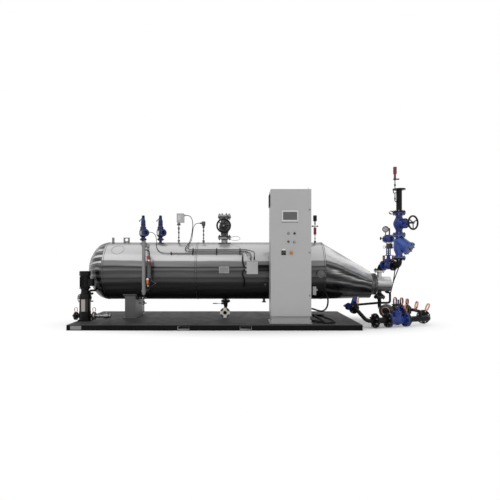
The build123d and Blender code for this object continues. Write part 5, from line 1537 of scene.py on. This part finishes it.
@dataclass
class CabinetInside(Dress):
    """The switchgear on the mounting plate."""

    PIECE, SLOT = "switchgear", Slot.GREY
    columns: Triple = (0.905, 1.325, 0.025)
    rails: tuple[float, ...] = (1.78, 1.50, 1.22, 0.94, 0.66, 0.38)
    gap: float = 0.0006

    def shapes(self) -> None:
        """Adds the wiring ducts, the rails and the devices on them."""
        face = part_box("mounting_plate")[0][1]
        left, right, half = self.columns
        for z in [rail + 0.14 for rail in self.rails] + [self.rails[-1] - 0.14]:
            self.duct((left - half, face - 0.055, z - 0.02), (right + half, face, z + 0.02))
        for x in (left, right):
            self.duct((x - half, face - 0.055, self.rails[-1] - 0.118), (x + half, face, self.rails[0] + 0.118))
        span = (left + half + 0.005, right - half - 0.005)
        for row, z in enumerate(self.rails):
            self.box((span[0], face - 0.0075, z - 0.0175), (span[1], face, z + 0.0175), self.fin.steel, 0.001)
            self.devices(row, z, span, face - 0.007)

    def duct(self, low: Triple, high: Triple) -> None:
        """Adds a slotted wiring duct with its lid."""
        self.box(low, high, self.fin.grey_paint, 0.001)
        (left, front, foot), (right, _, top) = low, high
        self.box((left - 0.001, front - 0.002, foot - 0.001), (right + 0.001, front + 0.006, top + 0.001),
                 self.fin.box, 0.001)

    def devices(self, row: int, z: float, span: Pair, face: float) -> None:
        """Fills one rail with breakers, relays or terminals."""
        fin = self.fin
        kinds = ((0.0175, 0.085, 0.062, fin.bezel), (0.045, 0.09, 0.085, fin.dark_grey),
                 (0.0225, 0.092, 0.075, fin.bezel), (0.072, 0.1, 0.09, fin.grey_paint),
                 (0.0175, 0.085, 0.062, fin.cream), (0.008, 0.056, 0.042, fin.box))
        width, height, depth, material = kinds[row % len(kinds)]
        step = width + self.gap
        for number in range(int((span[1] - span[0] - 0.04) / step)):
            x = span[0] + 0.02 + number * step
            self.box((x, face - depth, z - height / 2), (x + width, face, z + height / 2), material,
                     min(0.0015, width * 0.12))
            if width > 0.01:
                self.box((x + width * 0.3, face - depth - 0.006, z - 0.008),
                         (x + width * 0.7, face - depth + 0.001, z + 0.006), fin.plastic, 0.0008)
                for edge in (-1, 1):
                    screw = Vector((x + width / 2, face - depth, z + edge * height * 0.41))
                    self.turn([(0.0028, -0.001), (0.0028, 0.0004)], screw, FRONT, fin.fastener, 10)


@dataclass
class Blowdown(Dress):
    """The blowdown valve's bolts and the rings and sectors on its open end."""

    PIECE = "blowdown_fittings"
    top: Vector = at(0.123, VESSEL_Y, 0.332)
    end: Vector = at(0.123, -0.120, 0.170)
    end_radius: float = 0.082

    def shapes(self) -> None:
        """Adds the bolts, rings and sectors."""
        fin, end = self.fin, self.end
        self.joint(self.top, UP, DN40)
        self.ring((0.026, self.end_radius - 0.0015), (-0.0005, 0.0012), end, FRONT, fin.cream, 64)
        for angle in (22, 112, 202, 292):
            self.take(sector_mesh(0.061, self.end_radius - 0.001, 0.0008, 0.0032, angle, 46), aimed(end, FRONT),
                      fin.blue, smooth=False)
        self.bolt(end - FRONT * 0.009, FRONT, 0.055, 4, 0.022, 0.02)
        self.ring((0.0245, 0.030), (-0.0005, 0.0018), end, FRONT, fin.plastic, 48)


@dataclass
class FeedSet(Dress):
    """The bolts of the feed pump's ports, and its valve's fittings."""

    PIECE = "feed_fittings"
    ports: tuple[Pair, ...] = ((-2.035 - 0.140, -0.402), (-2.035 + 0.140, -0.402))
    pipe_z: float = 0.155
    stem_angle: float = 40.0

    def joints(self) -> list[Vector]:
        """Gives the middles of the pump's two port joints."""
        return [Vector((*port, self.pipe_z)) for port in self.ports]

    def shapes(self) -> None:
        """Adds the ports' bolts and the valve's fittings."""
        for centre in self.joints():
            self.joint(centre, RIGHT, SMALL, 0.036)
        turn = math.radians(self.stem_angle)
        stem = Vector((-math.sin(turn), -math.cos(turn), 0))
        GlobeValve("feed", Vector((-2.05, -0.155, 0.352)), UP, stem, 0.13, 0.17, 0.034, 0.030, "feed_wheel",
                   0.006).dress(self)


@dataclass
class ChannelHead(Dress):
    """The bolts of the girth flanges and of the two nozzles on the channel."""

    PIECE = "channel_bolts"
    girth: Vector = at(2.588, VESSEL_Y, CHANNEL_Z)
    girth_circle: float = 0.155
    girth_count: int = 20
    top_nozzle: Vector = at(2.712, VESSEL_Y, 0.846)
    low_nozzle: Vector = at(2.712, VESSEL_Y, 0.400)

    def shapes(self) -> None:
        """Adds the bolts."""
        self.bolt(self.girth, RIGHT, self.girth_circle, self.girth_count, 0.086, 0.024)
        self.joint(self.top_nozzle, UP, DN65)
        self.joint(self.low_nozzle, UP, DN65, 0.036)


@dataclass
class SteamTrain(Dress):
    """The steam inlet's joints, its valve's fittings and the strainer's cover."""

    PIECE = "steam_train_bolts"
    start: Vector = at(2.712, 0.18, 0.93)
    cross_joints: Pair = (0.098, 0.298)
    foot: Vector = at(2.909, -0.191, 1.053)
    valve: Vector = at(2.909, -0.191, 1.422)
    top: Vector = at(2.909, -0.191, 1.774)

    def shapes(self) -> None:
        """Adds the joints' bolts, the valve's fittings and the cover."""
        for along in self.cross_joints:
            self.joint(self.start + ACROSS * along, ACROSS, DN50, 0.036)
        for centre in (self.foot, self.valve, self.top):
            self.joint(centre, UP, DN80)
        GlobeValve("steam_inlet", self.valve, UP, ACROSS, 0.352, 0.275, 0.090, 0.080, "inlet_wheel").dress(self)
        self.strainer()

    def strainer(self) -> None:
        """Rims and bolts the cover of the strainer's leg."""
        fin, azimuth, drop = self.fin, math.radians(48), math.radians(35)
        leg = Vector((math.cos(azimuth) * math.cos(drop), -math.sin(azimuth) * math.cos(drop), -math.sin(drop)))
        cover = Vector((self.foot.x, self.foot.y, self.foot.z + 0.72 * 0.369)) + leg * 0.215
        self.bolt(cover - leg * 0.006, leg, 0.096, 8, 0.024, 0.016, fin.navy)
        # The cover's rim is in the lighter blue of the painted highlight.
        self.take(turned_mesh([(0.1125, -0.019), (0.1135, -0.017), (0.1135, 0.0), (0.104, 0.0036), (0.103, 0.0),
                               (0.103, -0.019)], 64, closed=True), aimed(cover, leg), fin.painted_highlight_blue)
        self.turn([(0.084, 0.006), (0.084, 0.0092), (0.078, 0.0098), (0.03, 0.0088), (0, 0.0085)], cover, leg,
                  fin.navy, 48)
        boss = [(0.014, 0.008), (0.014, 0.02), (0.012, 0.022), (0, 0.0222)]
        self.turn(boss, cover, leg, fin.navy, 6, smooth=False)


@dataclass
class TrainControls(Dress):
    """The control valve's positioner, its guard's red lever, knobs, small pipe and gauge."""

    PIECE, SLOT = "train_controls", Slot.RED
    stem: Vector = at(2.805, 0.005, 0)
    dial: Vector = at(2.745, -0.036, 1.520)
    dial_axis: Vector = at(-0.25, -0.95, 0, unit=True)

    def shapes(self) -> None:
        """Adds the lever, the positioner, the knobs and the gauge."""
        fin = self.fin
        self.box((2.808, -0.009, 1.39), (2.830, 0.009, 1.545), fin.red, 0.003)
        self.box((2.772, -0.009, 1.523), (2.822, 0.009, 1.545), fin.red, 0.003)
        self.positioner(*self.stem.xy)
        self.fittings(*self.stem.xy)
        self.gauge()

    def positioner(self, x: float, y: float) -> None:
        """Adds the positioner's box with its lid, bracket and two small gauges at its sides."""
        fin = self.fin
        self.box((x - 0.048, y - 0.072, 1.205), (x + 0.048, y - 0.028, 1.288), fin.navy, 0.006)
        self.box((x - 0.040, y - 0.0745, 1.213), (x + 0.040, y - 0.071, 1.280), fin.dark_grey, 0.001)
        self.box((x - 0.052, y - 0.03, 1.232), (x + 0.052, y - 0.014, 1.252), fin.dull_steel, 0.001)
        self.box((x - 0.046, y - 0.0765, 1.292), (x + 0.030, y - 0.028, 1.312), fin.cream, 0.003)
        for side, material in ((-0.056, fin.red), (0.056, fin.copper)):
            root = Vector((x + side, y - 0.052, 1.226))
            self.rod(root, Vector((x + side * 0.8, y - 0.052, 1.226)), 0.0085, fin.steel)
            self.rod(root, Vector((x + side * 1.3, y - 0.052, 1.222)), 0.0068, material)

    def fittings(self, x: float, y: float) -> None:
        """Adds the copper hoop and pipe, the adjusting knob and the stem's nuts."""
        fin, knob = self.fin, Vector((2.6825, y, 1.375))
        self.hoop(0.021, 0.0035, Vector((x - 0.087, y - 0.052, 1.232)), Vector((0.4, -1, 0)), fin.copper)
        self.turn([(0.0065, 0), (0.0065, 0.03), (0.004, 0.034)], Vector((x, y - 0.05, 1.31)), UP, fin.steel, 16)
        pipe = ((x + 0.03, y - 0.05, 1.287), (x + 0.03, y - 0.05, 1.316), (x + 0.046, y - 0.05, 1.334),
                (x + 0.072, y - 0.045, 1.338), (x + 0.078, y - 0.035, 1.352), (x + 0.066, y - 0.02, 1.366))
        self.wire(pipe, 0.0035, fin.copper)
        self.turn([(0.0255, -0.001), (0.0265, 0.004), (0.024, 0.012), (0.012, 0.016), (0, 0.017)], knob, -RIGHT,
                  fin.plastic, 28)
        self.rod(knob, Vector((2.73, y, 1.375)), 0.008, fin.steel)
        for height in (1.125, 1.16):
            nut = collar(0.0215, 0, 0.012, 0.002, 0.0015)
            self.turn(nut, Vector((x, y, height)), UP, fin.steel, 6, smooth=False)

    def gauge(self) -> None:
        """Adds the gauge's bare face, rim and needle."""
        fin, dial, axis = self.fin, self.dial, self.dial_axis
        self.turn([(0.0455, -0.0005), (0.0455, 0.0008), (0, 0.001)], dial, axis, fin.box, 48)
        self.ring((0.0455, 0.0495), (-0.001, 0.003), dial, axis, fin.dark_steel, 48)
        needle = aimed(dial, axis) @ Matrix.Rotation(math.radians(40), 4, "Z")
        self.box((-0.0012, -0.008, 0.001), (0.0012, 0.034, 0.0018), fin.plastic, 0.0, needle)


@dataclass
class CondensateLine(Dress):
    """The condensate line's joints, its valves' fittings and the trap's face."""

    PIECE = "condensate_bolts"
    start: Vector = at(2.389, -0.614, 0.110)
    first: Vector = at(2.615, -0.550, 0.110)
    second: Vector = at(2.913, -0.466, 0.110)
    trap: Vector = at(2.690, -0.250, 0.218)
    trap_joints: Triple = (0.154, 0.276, 0.380)
    trap_depth: float = 0.075

    def shapes(self) -> None:
        """Adds the joints' bolts, the valve's fittings and the trap's face."""
        self.joint(self.start, DOWNSTREAM, DN100, 0.024)
        for centre in (self.first, self.second):
            self.joint(centre, DOWNSTREAM, DN100)
        for along in self.trap_joints:
            self.joint(self.trap + DOWNSTREAM * along, DOWNSTREAM, DN50)
        valve = GlobeValve("condensate", self.first, DOWNSTREAM, UP, 0.31, 0.228, 0.084, 0.066, "condensate_wheel")
        valve.dress(self)
        facing = Vector((-0.5, -0.866, 0))
        face = self.trap + facing * self.trap_depth
        self.hoop(0.060, 0.007, face, facing, self.fin.copper)
        self.turn([(0.052, -0.001), (0.052, 0.002), (0.030, 0.004), (0, 0.0045)], face, facing, self.fin.plastic,
                  48)
        self.bolt(face - facing * 0.012, facing, 0.088, 8, 0.024, 0.016)


@dataclass
class BondingStraps(Dress):
    """The copper earthing straps, each a flat strip that loops high over a flange joint and is a little twisted."""

    PIECE, SLOT, REPLACES = "copper_straps", Slot.COPPER, "bonding_straps"
    half_length: float = 0.3
    width: float = 0.028
    thickness: float = 0.0025
    sweep: float = math.radians(145)
    steps: int = 12
    sink: float = 0.004
    end: Vector = at(3.310, -0.156, 0.110)
    rejoin: Vector = at(3.162, -0.2, 0.218)
    pump_rim: float = 0.062

    def shapes(self) -> None:
        """Adds the straps, which stand for the CAD's plain ones."""
        train, line, pump = SteamTrain(self.shop), CondensateLine(self.shop), FeedSet(self.shop)
        places = [(train.top, UP, Vector((-0.95, -0.3, 0)), DN80.flange, 0.085, 25),
                  (line.second, DOWNSTREAM, UP, DN100.flange, 0.12, 30),
                  (self.rejoin, FRONT, Vector((0.25, 0, 0.97)), 0.026, 0.12, 4),
                  (self.end, FRONT, Vector((0.4, 0, 0.92)), DN100.flange, 0.12, 8)]
        places += [(line.trap + DOWNSTREAM * along, DOWNSTREAM, UP, DN50.flange, height, 25)
                   for along, height in zip(line.trap_joints, (0.13, 0.12, 0.1))]
        places += [(train.start + ACROSS * along, ACROSS, UP, DN50.flange, 0.085, -30)
                   for along in train.cross_joints]
        places += [(centre, RIGHT, UP, self.pump_rim, 0.07, 0) for centre in pump.joints()]
        for joint, flow, out, radius, height, twist in places:
            flow = Matrix.Rotation(math.radians(twist), 3, out) @ flow
            self.strap(joint, flow, out.normalized(), radius, height)

    def strap(self, joint: Vector, flow: Vector, out: Vector, radius: float, height: float) -> None:
        """Adds one strap whose feet stand on the two rims of a joint."""
        rim = joint + out * radius
        half = self.half_length * height
        line = [(rim - flow * half * 0.5 - out * self.sink, -flow)]
        for step in range(2 * self.steps + 1):
            angle = self.sweep * (step / self.steps - 1)
            line.append((rim + out * height / 2 * (1 + math.cos(angle)) + flow * half * math.sin(angle),
                         out * math.cos(angle) + flow * math.sin(angle)))
        line.append((rim + flow * half * 0.5 - out * self.sink, flow))
        self.ribbon(line, self.width, self.thickness, self.fin.copper)


@dataclass
class DrainValve(Dress):
    """The diaphragm drain valve's flange bolts, gasket ring and orange cap."""

    PIECE = "drain_valve_fittings"
    start: Vector = at(2.085, -0.230, 0.285)
    flow: Vector = at(0.35, -0.93, -0.1, unit=True)
    stem: Vector = at(0.35, 0.1, 1, unit=True)
    cap_axis: Vector = at(0.92, -0.38, -0.1, unit=True)

    def shapes(self) -> None:
        """Adds the bolts, the ring and the cap."""
        self.joint(self.start, self.flow, SMALL, 0.028)
        self.joint(self.start + self.flow * 0.164, self.flow, DN50, 0.028)
        cap = self.start + self.flow * 0.086 + self.stem * 0.118 + self.cap_axis * 0.07
        self.ring((0.040, 0.0655), (-0.012, 0.001), cap, self.cap_axis, self.fin.cream, 56)
        lid = [(0.058, -0.001), (0.058, 0.003), (0.05, 0.0065), (0.02, 0.0075), (0, 0.0075)]
        self.turn(lid, cap, self.cap_axis, self.fin.orange, 48)


@dataclass
class SkidTrim(Dress):
    """The fork pockets' pale linings, painted light that shows through the open pockets, and the patch plate on the
    front rail.
    """

    PIECE, SLOT = "skid_plate", Slot.SKID
    pockets: Pair = (-0.452, 0.452)
    pocket_half: float = 0.0848
    pocket_low: float = 0.0092
    pocket_height: float = 0.0556
    pocket_depth: float = 0.6
    sheet: float = 0.0012

    def shapes(self) -> None:
        """Adds the plate with its screws, and in each pocket pale sheets of painted light."""
        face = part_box("skid_frame")[0][1]
        self.box((-2.09, face - 0.0015, 0.012), (-1.93, face + 0.001, 0.068), self.fin.grey_paint, 0.0008)
        for x in (-2.07, -1.95):
            for z in (0.022, 0.058):
                self.ball(Vector((x, face - 0.001, z)), 0.003, self.fin.fastener)
        foot, top, sheet = self.pocket_low, self.pocket_low + self.pocket_height, self.sheet
        # Each pocket is lined with pale sheets: painted light that shows through the open pocket.
        for x in self.pockets:
            left, right, floor, roof = x - self.pocket_half, x + self.pocket_half, foot + sheet, top - sheet
            for x_low, x_high, z_low, z_high in ((left, right, foot, floor), (left, left + sheet, floor, roof),
                                                 (right - sheet, right, floor, roof), (left, right, roof, top)):
                self.box((x_low, face + 0.002, z_low), (x_high, face + self.pocket_depth, z_high), self.fin.label_and_pocket_light)


def main() -> None:
    """Builds the studio, the cables and every sub-assembly's dress, in that order."""
    logging.basicConfig(level=logging.INFO, format="%(name)s: %(message)s")
    bpy.context.scene.view_settings.view_transform = "Standard"
    Studio().build()
    finishes = Finishes()
    Cables().build(finishes)
    CadFinishes().build(finishes)
    shop = Workshop(finishes, BoltMaker(), RivetMaker())
    for kind in (VesselCladding, SteamOutlet, SafetyValves, Sensors, Transmitters, LevelGear, Nameplate,
                 DoorPanel, DoorLocks, CabinetInside, Blowdown, FeedSet, ChannelHead, SteamTrain, TrainControls,
                 CondensateLine, BondingStraps, DrainValve, SkidTrim):
        log.info("%s", kind.__name__)
        kind(shop).build()


if __name__ == "__main__":
    main()
